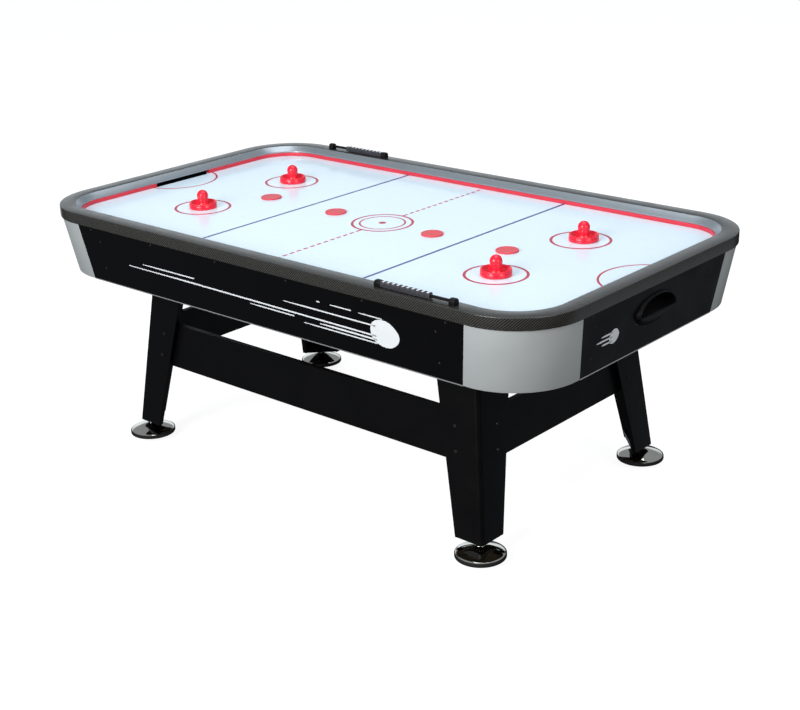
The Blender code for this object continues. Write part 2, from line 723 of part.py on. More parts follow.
def build_power_panel(apron, panel_material, rocker_material):
    """A jack and a rocker switch in the back apron, square to the leaning face."""
    z = SKIRT_TOP - PANEL_DROP
    place = Vector((PANEL_X, HALF_Y - skirt_offset(z), z))

    def lean(thing):
        thing.location = place
        thing.rotation_euler.x = -SKIRT_ANGLE
        return thing

    hole_x = PANEL_WIDTH / 2 - PANEL_FLANGE
    hole_z = PANEL_TALL / 2 - PANEL_FLANGE
    size = (hole_x, 0.03, hole_z)
    cut(apron, lean(add_box("apron_back_panel_hole", [-v for v in size], size, panel_material)))
    plate = add_box(
        "power_panel",
        (-PANEL_WIDTH / 2, GAP, -PANEL_TALL / 2),
        (PANEL_WIDTH / 2, GAP + PANEL_PLATE, PANEL_TALL / 2),
        panel_material,
    )
    lean(plate)
    fit = 0.0005
    body = add_box(
        "power_panel_body",
        (-hole_x + fit, -PANEL_DEPTH, -hole_z + fit),
        (hole_x - fit, PANEL_PLATE / 2, hole_z - fit),
        panel_material,
    )
    join(plate, lean(body))
    half_x = ROCKER_WIDTH / 2 + ROCKER_CLEARANCE / 2
    half_z = ROCKER_LENGTH / 2 + ROCKER_CLEARANCE
    well = add_box(
        "power_panel_well",
        (ROCKER_OFFSET - half_x, -0.012, -half_z),
        (ROCKER_OFFSET + half_x, 0.02, half_z),
        panel_material,
    )
    cut(plate, lean(well))
    sides = 14
    jack = []
    for y in (-0.015, 0.02):
        ring = []
        for k in range(sides):
            angle = math.tau * k / sides
            ring.append((JACK_OFFSET + JACK_RADIUS * math.cos(angle), y, JACK_RADIUS * math.sin(angle)))
        jack.append(ring)
    cut(plate, lean(add_loft("power_panel_jack", jack, panel_material)))

    half = ROCKER_LENGTH / 2
    ridge = PANEL_PLATE + GAP
    reach = half * math.tan(ROCKER_TILT)
    tilt = ROCKER_TILT
    inside = -0.0045
    end = ridge + 0.0005
    section = [(inside, -half * 0.9), (end, -half), (ridge, 0), (end, half), (inside, half * 0.9)]
    turned = []
    for y, z_local in section:
        lift = reach if abs(z_local) == half else 0
        y += lift
        turned_y = y * math.cos(tilt) - z_local * math.sin(tilt)
        turned_z = y * math.sin(tilt) + z_local * math.cos(tilt)
        turned.append((turned_y, turned_z))
    rings = [[(x, y, z_local) for y, z_local in turned] for x in (-ROCKER_WIDTH / 2, ROCKER_WIDTH / 2)]
    rocker = add_loft("power_rocker", rings, rocker_material)
    rocker.location = place + Vector((ROCKER_OFFSET, 0, 0))
    rocker.rotation_euler.x = -SKIRT_ANGLE


def build_mallets(material):
    base = FIELD_Z + GAP
    knob = MALLET_KNOB_RADIUS
    rim = MALLET_RIM_HEIGHT
    shoulder = MALLET_HEIGHT - knob
    profile = [
        (0, 0),
        (MALLET_RADIUS - 0.0015, 0),
        (MALLET_RADIUS, 0.0015),
        (MALLET_RADIUS - 0.0005, rim - 0.003),
        (MALLET_RADIUS - 0.0030, rim),
        (MALLET_RADIUS - 0.0065, rim - 0.001),
        (MALLET_RADIUS - 0.0105, rim * 0.5),
        (knob + 0.0065, rim * 0.36),
        (knob + 0.0015, rim * 0.52),
        (knob * 0.96, rim),
        (knob * 0.97, shoulder),
    ]
    for degrees in (25, 50, 72):
        angle = math.radians(degrees)
        profile.append((knob * 0.97 * math.cos(angle), shoulder + knob * math.sin(angle)))
    profile.append((0, MALLET_HEIGHT))
    profile = [(radius, base + height) for radius, height in profile]
    for place, (x, y) in MALLET_PLACES.items():
        add_turned(f"mallet_{place}", profile, (x, y), material, sides=32)


def build_pucks(material):
    base = FIELD_Z + GAP
    edge = 0.0008
    profile = [
        (0, base),
        (PUCK_RADIUS - edge, base),
        (PUCK_RADIUS, base + edge),
        (PUCK_RADIUS, base + PUCK_HEIGHT - edge),
        (PUCK_RADIUS - edge, base + PUCK_HEIGHT),
        (0, base + PUCK_HEIGHT),
    ]
    for number, place in PUCK_PLACES.items():
        add_turned(f"puck_{number}", profile, place, material, sides=36)


def octagon(x, y, z, half, edge):
    """Ring of eight points in the YZ plane: a square with its corners taken off."""
    flat = half - edge
    pairs = [(flat, half), (-flat, half), (-half, flat), (-half, -flat)]
    pairs += [(-a, -b) for a, b in pairs]
    return [(x, y + a, z + b) for a, b in pairs]


def build_scorers(frame_material, bead_material):
    bore_edge = BEAD_BORE * (1 - math.tan(math.radians(22.5)))
    rod_edge = ROD_RADIUS * (1 - math.tan(math.radians(22.5)))
    axis_z = HEIGHT + ROD_HEIGHT
    y_abs = HALF_Y - RAIL_WIDTH / 2
    for name, turn in (("front", 1), ("back", -1)):
        y = -turn * y_abs
        start = SCORER_START
        stop = start + SCORER_LENGTH
        low = HEIGHT + GAP
        frame = None
        for number, x in enumerate((start, stop - BRACKET_LENGTH)):
            half = BRACKET_WIDTH / 2
            crown = low + BRACKET_HEIGHT
            soft = 0.006
            section = [
                (-half, low),
                (half, low),
                (half, crown - soft),
                (half - soft * 0.3, crown - soft * 0.3),
                (half - soft, crown),
                (soft - half, crown),
                (soft * 0.3 - half, crown - soft * 0.3),
                (-half, crown - soft),
            ]
            rings = [[(turn * px, y + a, b) for a, b in section] for px in (x, x + BRACKET_LENGTH)]
            label = f"scorer_{name}_frame" if number == 0 else f"scorer_{name}_bracket"
            piece = add_loft(label, rings, frame_material)
            if frame is None:
                frame = piece
            else:
                join(frame, piece)
        rod = [octagon(turn * px, y, axis_z, ROD_RADIUS, rod_edge) for px in (start + 0.004, stop - 0.004)]
        join(frame, add_loft(f"scorer_{name}_rod", rod, frame_material))

        outer = []
        first = start + BRACKET_LENGTH + GAP
        half = BEAD_SIZE / 2
        for bead in range(BEADS):
            x = first + bead * BEAD_LENGTH
            waist = BEAD_GROOVE
            outer.append(octagon(turn * x, y, axis_z, half - waist, BEAD_EDGE))
            outer.append(octagon(turn * (x + waist), y, axis_z, half, BEAD_EDGE))
            outer.append(octagon(turn * (x + BEAD_LENGTH - waist), y, axis_z, half, BEAD_EDGE))
        last = first + BEADS * BEAD_LENGTH
        outer.append(octagon(turn * last, y, axis_z, half - BEAD_GROOVE, BEAD_EDGE))
        inner = [octagon(turn * px, y, axis_z, BEAD_BORE, bore_edge) for px in (first, last)]
        points, faces = hollow_loft(outer, inner)
        add_object(f"scorer_{name}_beads", points, faces, bead_material)


def main():
    clear_scene()
    carbon = make_material("carbon_film", (0.075, 0.078, 0.085), 0.32)
    aluminium = make_material("liner_aluminium", (0.62, 0.64, 0.66), 0.28, 1.0)
    red_strip = make_material("bumper_red", (0.70, 0.02, 0.05), 0.35)
    white = make_material("field_white", (0.84, 0.92, 0.98), 0.12)
    board = make_material("tray_board", (0.30, 0.22, 0.14), 0.75)
    black = make_material("apron_black", (0.010, 0.010, 0.011), 0.38)
    silver = make_material("cap_silver", (0.42, 0.44, 0.45), 0.36, 0.6)
    plastic = make_material("black_plastic", (0.012, 0.012, 0.013), 0.45)
    chrome = make_material("chrome", (0.75, 0.75, 0.76), 0.08, 1.0)
    rubber = make_material("pad_rubber", (0.014, 0.014, 0.015), 0.8)
    red_plastic = make_material("mallet_red", (0.75, 0.015, 0.04), 0.22)
    puck_red = make_material("puck_red", (0.70, 0.05, 0.07), 0.3)
    charcoal = make_material("scorer_charcoal", (0.045, 0.046, 0.052), 0.4)

    build_rails(carbon)
    build_liners(aluminium)
    build_bumpers(red_strip)
    build_playfield(white)
    build_air_tray(board)
    aprons = build_skirt(black, silver)
    build_goals(aprons, plastic)
    build_legs(black, chrome, rubber)
    build_stretchers(black)
    build_blower(plastic, plastic)
    build_power_panel(aprons["apron_back"], plastic, red_plastic)
    build_mallets(red_plastic)
    build_pucks(puck_red)
    build_scorers(plastic, charcoal)


main()
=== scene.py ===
"""Looks of the air hockey table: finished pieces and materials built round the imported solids."""

import math

import bmesh
import bpy
from mathutils import Matrix, Vector


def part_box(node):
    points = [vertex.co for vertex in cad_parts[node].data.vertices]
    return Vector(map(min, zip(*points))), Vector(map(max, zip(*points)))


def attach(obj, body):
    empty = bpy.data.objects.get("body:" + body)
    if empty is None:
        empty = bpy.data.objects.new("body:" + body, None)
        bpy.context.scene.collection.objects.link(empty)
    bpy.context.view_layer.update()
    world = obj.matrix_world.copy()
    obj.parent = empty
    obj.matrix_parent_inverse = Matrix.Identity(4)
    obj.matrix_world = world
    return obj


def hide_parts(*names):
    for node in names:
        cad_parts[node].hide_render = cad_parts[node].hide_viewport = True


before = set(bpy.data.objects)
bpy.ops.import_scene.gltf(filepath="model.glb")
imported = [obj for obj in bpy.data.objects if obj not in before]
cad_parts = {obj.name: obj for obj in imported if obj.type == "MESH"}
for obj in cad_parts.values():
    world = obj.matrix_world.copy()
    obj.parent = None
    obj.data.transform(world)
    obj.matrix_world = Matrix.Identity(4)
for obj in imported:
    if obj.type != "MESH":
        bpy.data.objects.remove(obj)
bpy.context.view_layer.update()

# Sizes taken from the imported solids
RAIL_LOW, RAIL_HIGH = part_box("rail_front")
HALF_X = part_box("rail_right")[1].x
HALF_Y = -RAIL_LOW.y
HEIGHT = RAIL_HIGH.z
RAIL_BOTTOM = RAIL_LOW.z
RAIL_WIDTH = RAIL_HIGH.y - RAIL_LOW.y
FIELD_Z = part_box("playfield")[1].z
FIELD_INSET = HALF_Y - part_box("playfield")[1].y
SKIRT_LOW, SKIRT_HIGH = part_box("apron_front")
SKIRT_TOP = SKIRT_HIGH.z
SKIRT_BOTTOM = SKIRT_LOW.z
SEAM_X = SKIRT_HIGH.x
SEAM_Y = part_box("apron_left")[1].y
BUMPER_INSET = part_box("bumper_front")[0].y + HALF_Y
BUMPER_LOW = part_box("bumper_front")[0].z
BUMPER_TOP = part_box("bumper_front")[1].z
GAP = 0.0003

# Sizes of the design
RAIL_RADIUS = 0.218
CORNER_TAIL = 0.0155
BUMPER_FACE = 0.076
SKIRT_INSET = 0.005
SKIRT_TAPER = 0.028
SKIRT_THICKNESS = 0.015
SKIRT_SLOPE = SKIRT_TAPER / (SKIRT_TOP - SKIRT_BOTTOM)
GOAL_HALF = 0.13
FLOOR_DROP = 0.0206
CORNER_NAMES = [(a, b) for a in ("front", "back") for b in ("left", "right")]
SIDE = {"front": -1, "back": 1, "left": -1, "right": 1}


# ---------------------------------------------------------------- materials


class Paint:
    """A node material: the Principled shader, and short ways to feed it."""

    def __init__(self, name, colour=(0.5, 0.5, 0.5), roughness=0.5, metallic=0.0, **sockets):
        self.material = bpy.data.materials.new(name)
        self.material.use_nodes = True
        self.tree = self.material.node_tree
        self.shader = self.tree.nodes["Principled BSDF"]
        self.set("Base Color", (*colour, 1))
        self.set("Roughness", roughness)
        self.set("Metallic", metallic)
        for socket, value in sockets.items():
            self.set(socket.replace("_", " "), value)

    def set(self, socket, value):
        self.feed(self.shader.inputs[socket], value)

    def feed(self, socket, value):
        if isinstance(value, bpy.types.NodeSocket):
            self.tree.links.new(value, socket)
        else:
            socket.default_value = value

    def node(self, kind, *values, **settings):
        node = self.tree.nodes.new(kind)
        for key, value in settings.items():
            setattr(node, key, value)
        for index, value in enumerate(values):
            if value is not None:
                self.feed(node.inputs[index], value)
        return node

    def math(self, operation, *values):
        return self.node("ShaderNodeMath", *values, operation=operation).outputs[0]

    def mix(self, factor, first, second):
        node = self.tree.nodes.new("ShaderNodeMix")
        node.data_type = "RGBA"
        self.feed(node.inputs["Factor"], factor)
        self.feed(node.inputs[6], first if isinstance(first, bpy.types.NodeSocket) else (*first, 1))
        self.feed(node.inputs[7], second if isinstance(second, bpy.types.NodeSocket) else (*second, 1))
        return node.outputs[2]

    def scale(self, value, low, high, to_low, to_high):
        node = self.node("ShaderNodeMapRange", value, low, high, to_low, to_high)
        return node.outputs[0]

    def place(self, stretch=(1, 1, 1), strip=False):
        """Position in metres, from the mesh or along a strip, stretched."""
        if strip:
            source = self.node("ShaderNodeUVMap", uv_map="strip").outputs[0]
        else:
            source = self.node("ShaderNodeTexCoord").outputs["Object"]
        return self.node("ShaderNodeVectorMath", source, stretch, operation="MULTIPLY").outputs[0]

    def noise(self, place, scale, detail=2.0, rough=0.5):
        node = self.node("ShaderNodeTexNoise")
        self.feed(node.inputs["Vector"], place)
        node.inputs["Scale"].default_value = scale
        node.inputs["Detail"].default_value = detail
        node.inputs["Roughness"].default_value = rough
        return node.outputs[0]

    def bump(self, height, distance, strength=1.0):
        node = self.node("ShaderNodeBump")
        node.inputs["Strength"].default_value = strength
        node.inputs["Distance"].default_value = distance
        self.feed(node.inputs["Height"], height)
        self.set("Normal", node.outputs[0])


def carbon_film():
    """Printed carbon weave: a 2 by 2 twill of tows under a clear film."""
    paint = Paint("carbon_film", roughness=0.24, Specular_IOR_Level=0.55)
    tow = 0.0020
    strip = paint.place((1 / tow, 1 / tow, 1), strip=True)
    parts = paint.node("ShaderNodeSeparateXYZ", strip)
    across, along = parts.outputs[0], parts.outputs[1]
    step = paint.math("SUBTRACT", paint.math("FLOOR", across), paint.math("FLOOR", along))
    phase = paint.math("FLOORED_MODULO", step, 4.0)
    warp = paint.math("LESS_THAN", phase, 1.5)
    crown_u = paint.math("PINGPONG", across, 0.5)
    crown_v = paint.math("PINGPONG", along, 0.5)
    crown = paint.node("ShaderNodeMix", data_type="FLOAT")
    paint.feed(crown.inputs["Factor"], warp)
    paint.feed(crown.inputs[2], crown_v)
    paint.feed(crown.inputs[3], crown_u)
    crown = crown.outputs[0]
    fibre = paint.noise(paint.place((900, 900, 1), strip=True), 1.0, 1.0)
    light = paint.math("MULTIPLY_ADD", crown, 0.5, paint.math("MULTIPLY", fibre, 0.35))
    tone = paint.mix(light, (0.028, 0.027, 0.025), (0.095, 0.091, 0.084))
    dark = paint.mix(light, (0.003, 0.003, 0.0028), (0.010, 0.0095, 0.009))
    paint.set("Base Color", paint.mix(warp, dark, tone))
    patch = paint.noise(paint.place(), 14.0, 3.0)
    paint.set("Roughness", paint.scale(patch, 0.3, 0.7, 0.20, 0.28))
    paint.bump(crown, 0.00006, 0.35)
    return paint.material


def brushed(name, colour, roughness, metallic, streak=1400.0, depth=0.00002, strength=0.35, **sockets):
    """Metal with fine lines along the strip."""
    paint = Paint(name, colour, roughness, metallic, **sockets)
    lines = paint.noise(paint.place((6, streak, 1), strip=True), 1.0, 3.0, 0.7)
    clouds = paint.noise(paint.place(), 9.0, 2.0)
    shade = paint.math("MULTIPLY_ADD", lines, 0.5, paint.math("MULTIPLY", clouds, 0.5))
    paint.set("Base Color", paint.mix(shade, [c * 0.86 for c in colour], [min(1, c * 1.10) for c in colour]))
    paint.set("Roughness", paint.scale(lines, 0.3, 0.7, roughness * 0.85, roughness * 1.2))
    paint.bump(lines, depth, strength)
    return paint.material


def moulded(name, colour, roughness, grain=900.0, depth=0.00002, strength=0.4, spread=0.12, **sockets):
    """Moulded or coated surface with a fine grain and slight cloudiness."""
    paint = Paint(name, colour, roughness, **sockets)
    fine = paint.noise(paint.place(), grain, 2.0)
    clouds = paint.noise(paint.place(), 11.0, 3.0)
    paint.set(
        "Base Color",
        paint.mix(clouds, [c * (1 - spread) for c in colour], [min(1, c * (1 + spread)) for c in colour]),
    )
    paint.set("Roughness", paint.scale(clouds, 0.3, 0.7, roughness * 0.88, roughness * 1.14))
    paint.bump(fine, depth, strength)
    return paint.material


def chrome_metal():
    paint = Paint("chrome", (0.72, 0.69, 0.63), 0.06, 1.0)
    smear = paint.noise(paint.place(), 35.0, 3.0)
    paint.set("Roughness", paint.scale(smear, 0.35, 0.75, 0.035, 0.12))
    tint = paint.noise(paint.place(), 18.0, 1.0)
    paint.set("Base Color", paint.mix(tint, (0.66, 0.64, 0.59), (0.82, 0.78, 0.71)))
    paint.bump(paint.noise(paint.place(), 60.0, 1.0), 0.0001, 0.15)
    return paint.material


def field_laminate():
    """Glossy white laminate, with the faintest cloudiness and orange peel."""
    paint = Paint("field_white", (0.86, 0.93, 0.985), 0.16, Specular_IOR_Level=0.45)
    clouds = paint.noise(paint.place(), 2.2, 3.0)
    paint.set("Base Color", paint.mix(clouds, (0.70, 0.835, 0.945), (0.75, 0.885, 0.985)))
    paint.set("Roughness", paint.scale(paint.noise(paint.place(), 25.0, 3.0), 0.3, 0.7, 0.12, 0.24))
    paint.bump(paint.noise(paint.place(), 320.0, 1.0), 0.00003, 0.25)
    return paint.material


def fibreboard():
    paint = Paint("tray_board", (0.30, 0.22, 0.14), 0.8, Specular_IOR_Level=0.2)
    chips = paint.noise(paint.place(), 420.0, 3.0, 0.7)
    clouds = paint.noise(paint.place(), 6.0, 3.0)
    base = paint.mix(chips, (0.20, 0.140, 0.085), (0.40, 0.30, 0.20))
    paint.set("Base Color", paint.mix(paint.math("MULTIPLY", clouds, 0.4), base, (0.26, 0.19, 0.12)))
    paint.bump(chips, 0.0002, 0.5)
    return paint.material


def studio_floor():
    paint = Paint("studio_floor", (0.30, 0.30, 0.30), 0.9, Specular_IOR_Level=0.0)
    paint.set("Emission Color", (1, 1, 1, 1))
    paint.set("Emission Strength", 0.90)
    return paint.material


M = {
    "carbon": carbon_film(),
    "liner": brushed("liner_aluminium", (0.36, 0.40, 0.44), 0.34, 0.75),
    "silver": brushed("cap_silver", (0.47, 0.50, 0.51), 0.45, 0.25, 700.0, 0.00001, 0.2),
    "trim": brushed("trim_silver", (0.72, 0.72, 0.72), 0.32, 0.8),
    "chrome": chrome_metal(),
    "field": field_laminate(),
    "board": fibreboard(),
    "black": moulded("apron_black", (0.0015, 0.0014, 0.0018), 0.40, 700.0, Specular_IOR_Level=0.12),
    "plastic": moulded("black_plastic", (0.0035, 0.0035, 0.0042), 0.44, 1500.0, Specular_IOR_Level=0.18),
    "rubber": moulded("pad_rubber", (0.012, 0.012, 0.013), 0.75, 500.0, Specular_IOR_Level=0.2),
    "bumper": moulded("bumper_red", (0.62, 0.035, 0.06), 0.36, 400.0, Specular_IOR_Level=0.35),
    "mallet": moulded("mallet_red", (0.80, 0.010, 0.035), 0.24, 300.0, 0.00002, 0.25, 0.06,
                      Specular_IOR_Level=0.5),
    "puck": moulded("puck_red", (0.66, 0.060, 0.080), 0.33, 500.0, Specular_IOR_Level=0.3),
    "bead": moulded("scorer_charcoal", (0.040, 0.040, 0.050), 0.42, 900.0, Specular_IOR_Level=0.4),
    "screw": moulded("screw_black", (0.012, 0.012, 0.013), 0.35, 1500.0, Specular_IOR_Level=0.4),
    "blue_ink": moulded("ink_blue", (0.030, 0.045, 0.24), 0.3, 900.0, 0.00001, 0.2),
    "red_ink": moulded("ink_red", (0.46, 0.008, 0.040), 0.3, 900.0, 0.00001, 0.2),
    "white_ink": moulded("ink_white", (0.78, 0.82, 0.86), 0.45, 900.0, 0.00001, 0.2, 0.04),
    # Painted shade: the dark grey of the air holes stands in for the shade inside each opening.
    "hole_shade": moulded("air_hole_painted_shade", (0.10, 0.11, 0.12), 0.8, 900.0, 0.00001, 0.2),
    "felt": moulded("felt_pad", (0.30, 0.31, 0.33), 0.95, 1800.0, 0.0003, 0.8, Specular_IOR_Level=0.1),
}


# ---------------------------------------------------------------- geometry


class Shape:
    """Points, faces and strip coordinates of one piece, gathered from several parts."""

    def __init__(self):
        self.points = []
        self.faces = []
        self.strips = []

    def add(self, points, faces, strips=None):
        base = len(self.points)
        self.points += [Vector(p) for p in points]
        self.faces += [[base + k for k in face] for face in faces]
        if strips is None:
            strips = [[(points[k][0], points[k][1]) for k in face] for face in faces]
        self.strips += strips
        return self

    def loft(self, rings, closed=False, matrix=None):
        """A body through matching closed rings; flat ends unless the path closes on itself."""
        if matrix is not None:
            rings = [[matrix @ Vector(p) for p in ring] for ring in rings]
        count = len(rings[0])
        rows = len(rings)
        middle = [sum((Vector(p) for p in ring), Vector()) / count for ring in rings]
        run = [0.0]
        for row in range(1, rows + 1):
            run.append(run[-1] + (middle[row % rows] - middle[row - 1]).length)
        section = [0.0]
        for k in range(1, count + 1):
            section.append(section[-1] + (Vector(rings[0][k % count]) - Vector(rings[0][k - 1])).length)
        points = [p for ring in rings for p in ring]
        faces, strips = [], []
        for row in range(rows if closed else rows - 1):
            after = (row + 1) % rows
            for k in range(count):
                step = (k + 1) % count
                faces.append([row * count + k, row * count + step, after * count + step, after * count + k])
                strips.append([
                    (run[row], section[k]),
                    (run[row], section[k + 1]),
                    (run[row + 1], section[k + 1]),
                    (run[row + 1], section[k]),
                ])
        if not closed:
            for row in (0, rows - 1):
                faces.append([row * count + k for k in range(count)])
                strips.append([(section[k] * 0.5, section[k] * 0.5) for k in range(count)])
        return self.add(points, faces, strips)

    def turned(self, profile, centre, sides=48, matrix=None):
        """A body turned about the vertical through centre; its (radius, z) profile ends on the axis."""
        cx, cy = centre
        points, rows = [], []
        for radius, z in profile:
            start = len(points)
            if radius == 0:
                points.append((cx, cy, z))
                rows.append([start] * sides)
                continue
            for k in range(sides):
                angle = math.tau * k / sides
                points.append((cx + radius * math.cos(angle), cy + radius * math.sin(angle), z))
            rows.append([start + k for k in range(sides)])
        if matrix is not None:
            points = [matrix @ Vector(p) for p in points]
        faces, strips = [], []
        run = 0.0
        for (r0, z0), (r1, z1), below, above in zip(profile, profile[1:], rows, rows[1:]):
            step = math.hypot(r1 - r0, z1 - z0)
            reach = max(r0, r1)
            for k in range(sides):
                follow = (k + 1) % sides
                u0, u1 = math.tau * k / sides * reach, math.tau * (k + 1) / sides * reach
                face = [below[k], below[follow], above[follow], above[k]]
                strip = [(u0, run), (u1, run), (u1, run + step), (u0, run + step)]
                keep = [i for i in range(4) if face[i] not in face[:i]]
                faces.append([face[i] for i in keep])
                strips.append([strip[i] for i in keep])
            run += step
        return self.add(points, faces, strips)

    def box(self, low, high, matrix=None):
        (x0, y0, z0), (x1, y1, z1) = low, high
        rings = [[(x0, y0, z), (x1, y0, z), (x1, y1, z), (x0, y1, z)] for z in (z0, z1)]
        return self.loft(rings, matrix=matrix)


def make(name, shape, paint, body="table", replaces=(), bevel=0.0, segments=2,
         sharp=35, limit=32):
    """Turns a shape into a piece that rides on a body."""
    mesh = bpy.data.meshes.new(name)
    build = bmesh.new()
    corners = [build.verts.new(p) for p in shape.points]
    layer = build.loops.layers.uv.new("strip")
    for face, strip in zip(shape.faces, shape.strips):
        made = build.faces.new([corners[k] for k in face])
        lookup = dict(zip(face, strip))
        index_of = {corners[k]: lookup[k] for k in face}
        for loop in made.loops:
            loop[layer].uv = index_of[loop.vert]
    bmesh.ops.recalc_face_normals(build, faces=build.faces)
    build.to_mesh(mesh)
    build.free()
    mesh.shade_smooth()
    mesh.set_sharp_from_angle(angle=math.radians(sharp))
    mesh.materials.append(M[paint])
    thing = bpy.data.objects.new(name, mesh)
    bpy.context.scene.collection.objects.link(thing)
    if bevel:
        modifier = thing.modifiers.new("edges", "BEVEL")
        modifier.width = bevel
        modifier.segments = segments
        modifier.limit_method = "ANGLE"
        modifier.angle_limit = math.radians(limit)
        modifier.use_clamp_overlap = True
        modifier.harden_normals = True
    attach(thing, body)
    if replaces:
        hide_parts(*replaces)
    return thing


def dress(node, paint, bevel=0.0, segments=2):
    """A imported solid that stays: its finish, and softened edges."""
    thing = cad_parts[node]
    thing.data.materials.clear()
    thing.data.materials.append(M[paint])
    if bevel:
        modifier = thing.modifiers.new("edges", "BEVEL")
        modifier.width = bevel
        modifier.segments = segments
        modifier.limit_method = "ANGLE"
        modifier.angle_limit = math.radians(40)
        modifier.harden_normals = False


def rounded(section, radius, steps=3):
    """A section of (a, b) points with some corners rounded; radius may be a list, one for each corner."""
    count = len(section)
    radii = radius if isinstance(radius, (list, tuple)) else [radius] * count
    out = []
    for k, corner in enumerate(section):
        r = radii[k]
        if not r:
            out.append(tuple(corner))
            continue
        here = Vector(corner)
        before = (Vector(section[k - 1]) - here).normalized()
        after = (Vector(section[(k + 1) % count]) - here).normalized()
        half = before.angle(after) / 2
        back = r / math.tan(half)
        centre = here + (before + after).normalized() * (r / math.sin(half))
        start = here + before * back - centre
        end = here + after * back - centre
        turn = start.angle_signed(end)
        for step in range(steps + 1):
            spun = start.copy()
            spun.rotate(Matrix.Rotation(-turn * step / steps, 2))
            out.append(tuple(centre + spun))
    return out


def bend(side_x, side_y, tail=CORNER_TAIL, steps=26):
    """Stations round a corner of the rim, from the long side to the short side."""
    cx, cy = HALF_X - RAIL_RADIUS, HALF_Y - RAIL_RADIUS
    stations = [(side_x * (cx - tail), side_y * HALF_Y, 0, side_y)] if tail else []
    for k in range(steps + 1):
        angle = math.pi / 2 * (1 - k / steps)
        nx, ny = side_x * math.cos(angle), side_y * math.sin(angle)
        stations.append((side_x * cx + RAIL_RADIUS * nx, side_y * cy + RAIL_RADIUS * ny, nx, ny))
    if tail:
        stations.append((side_x * HALF_X, side_y * (cy - tail), side_x, 0))
    return stations


def edge_rings(stations, section):
    return [[(x - inset * nx, y - inset * ny, z) for inset, z in section] for x, y, nx, ny in stations]


def skirt_offset(z):
    return SKIRT_INSET + (SKIRT_TOP - z) * SKIRT_SLOPE


def face_matrix(side, u, z, proud=0.0):
    """Local frame on an apron: X along it, Y up its face, Z straight out of it."""
    lean = math.atan(SKIRT_SLOPE)
    offset = skirt_offset(z)
    out, along, at = {
        "front": ((0, -1), (1, 0), (u, -(HALF_Y - offset))),
        "back": ((0, 1), (-1, 0), (u, HALF_Y - offset)),
        "right": ((1, 0), (0, 1), (HALF_X - offset, u)),
        "left": ((-1, 0), (0, -1), (-(HALF_X - offset), u)),
    }[side]
    normal = Vector((out[0] * math.cos(lean), out[1] * math.cos(lean), -math.sin(lean)))
    x_axis = Vector((*along, 0))
    y_axis = normal.cross(x_axis)
    origin = Vector((*at, z)) + normal * proud
    return Matrix((
        (x_axis.x, y_axis.x, normal.x, origin.x),
        (x_axis.y, y_axis.y, normal.y, origin.y),
        (x_axis.z, y_axis.z, normal.z, origin.z),
        (0, 0, 0, 1),
    ))


# ---------------------------------------------------------------- rim


def build_rim():
    edge = [0.0009, 0.0022, 0.0011, 0.0009]
    section = rounded(
        [(0, RAIL_BOTTOM), (0, HEIGHT), (RAIL_WIDTH, HEIGHT), (RAIL_WIDTH, RAIL_BOTTOM)], edge, 4
    )
    reach_x, reach_y = SEAM_X, SEAM_Y
    for side in ("front", "back"):
        s = SIDE[side]
        stations = [(x, s * HALF_Y, 0, s) for x in (-reach_x, 0, reach_x)]
        make(f"wrapped_rail_{side}", Shape().loft(edge_rings(stations, section)), "carbon",
             replaces=[f"rail_{side}"], bevel=0.0004)
    for side_x in ("left", "right"):
        for side_y in ("front", "back"):
            stations = bend(SIDE[side_x], SIDE[side_y])
            make(f"wrapped_corner_{side_y}_{side_x}", Shape().loft(edge_rings(stations, section)), "carbon",
                 replaces=[f"rail_corner_{side_y}_{side_x}"], bevel=0.0004)
    slot_top = BUMPER_TOP + GAP
    wall = 0.02
    notched = rounded(
        [(0, RAIL_BOTTOM), (0, HEIGHT), (RAIL_WIDTH, HEIGHT),
         (RAIL_WIDTH, slot_top), (wall, slot_top), (wall, RAIL_BOTTOM)],
        [0.0009, 0.0022, 0.0011, 0, 0, 0], 4,
    )
    full = rounded(
        [(0, RAIL_BOTTOM), (0, HEIGHT), (RAIL_WIDTH, HEIGHT),
         (RAIL_WIDTH, slot_top), (RAIL_WIDTH, RAIL_BOTTOM + 0.0001), (RAIL_WIDTH, RAIL_BOTTOM)],
        [0.0009, 0.0022, 0.0011, 0, 0, 0], 4,
    )
    for side in ("left", "right"):
        s = SIDE[side]
        shape = Shape()
        rings = []
        for y, outline in ((-reach_y, full), (-GOAL_HALF, full), (-GOAL_HALF + 1e-5, notched),
                           (GOAL_HALF - 1e-5, notched), (GOAL_HALF, full), (reach_y, full)):
            rings += edge_rings([(s * HALF_X, y, s, 0)], outline)
        shape.loft(rings)
        make(f"wrapped_rail_{side}", shape, "carbon", replaces=[f"rail_{side}"])


def build_liner():
    start = RAIL_WIDTH + GAP
    inner = start + 0.018
    under = BUMPER_TOP + GAP
    section = rounded(
        [(start, under), (start, HEIGHT - 0.0001), (start + 0.0022, HEIGHT - 0.0001),
         (inner, under + 0.0048), (inner, under)],
        [0, 0, 0.0009, 0.0007, 0.0004], 3,
    )
    reach = SEAM_X
    for side in ("front", "back"):
        s = SIDE[side]
        stations = [(x, s * HALF_Y, 0, s) for x in (-reach, 0, reach)]
        make(f"brushed_liner_{side}", Shape().loft(edge_rings(stations, section)), "liner",
             replaces=[f"liner_{side}"])
    for side in ("left", "right"):
        s = SIDE[side]
        stations = bend(s, -1) + bend(s, 1)[::-1]
        make(f"brushed_liner_{side}", Shape().loft(edge_rings(stations, section)), "liner",
             replaces=[f"liner_{side}"])


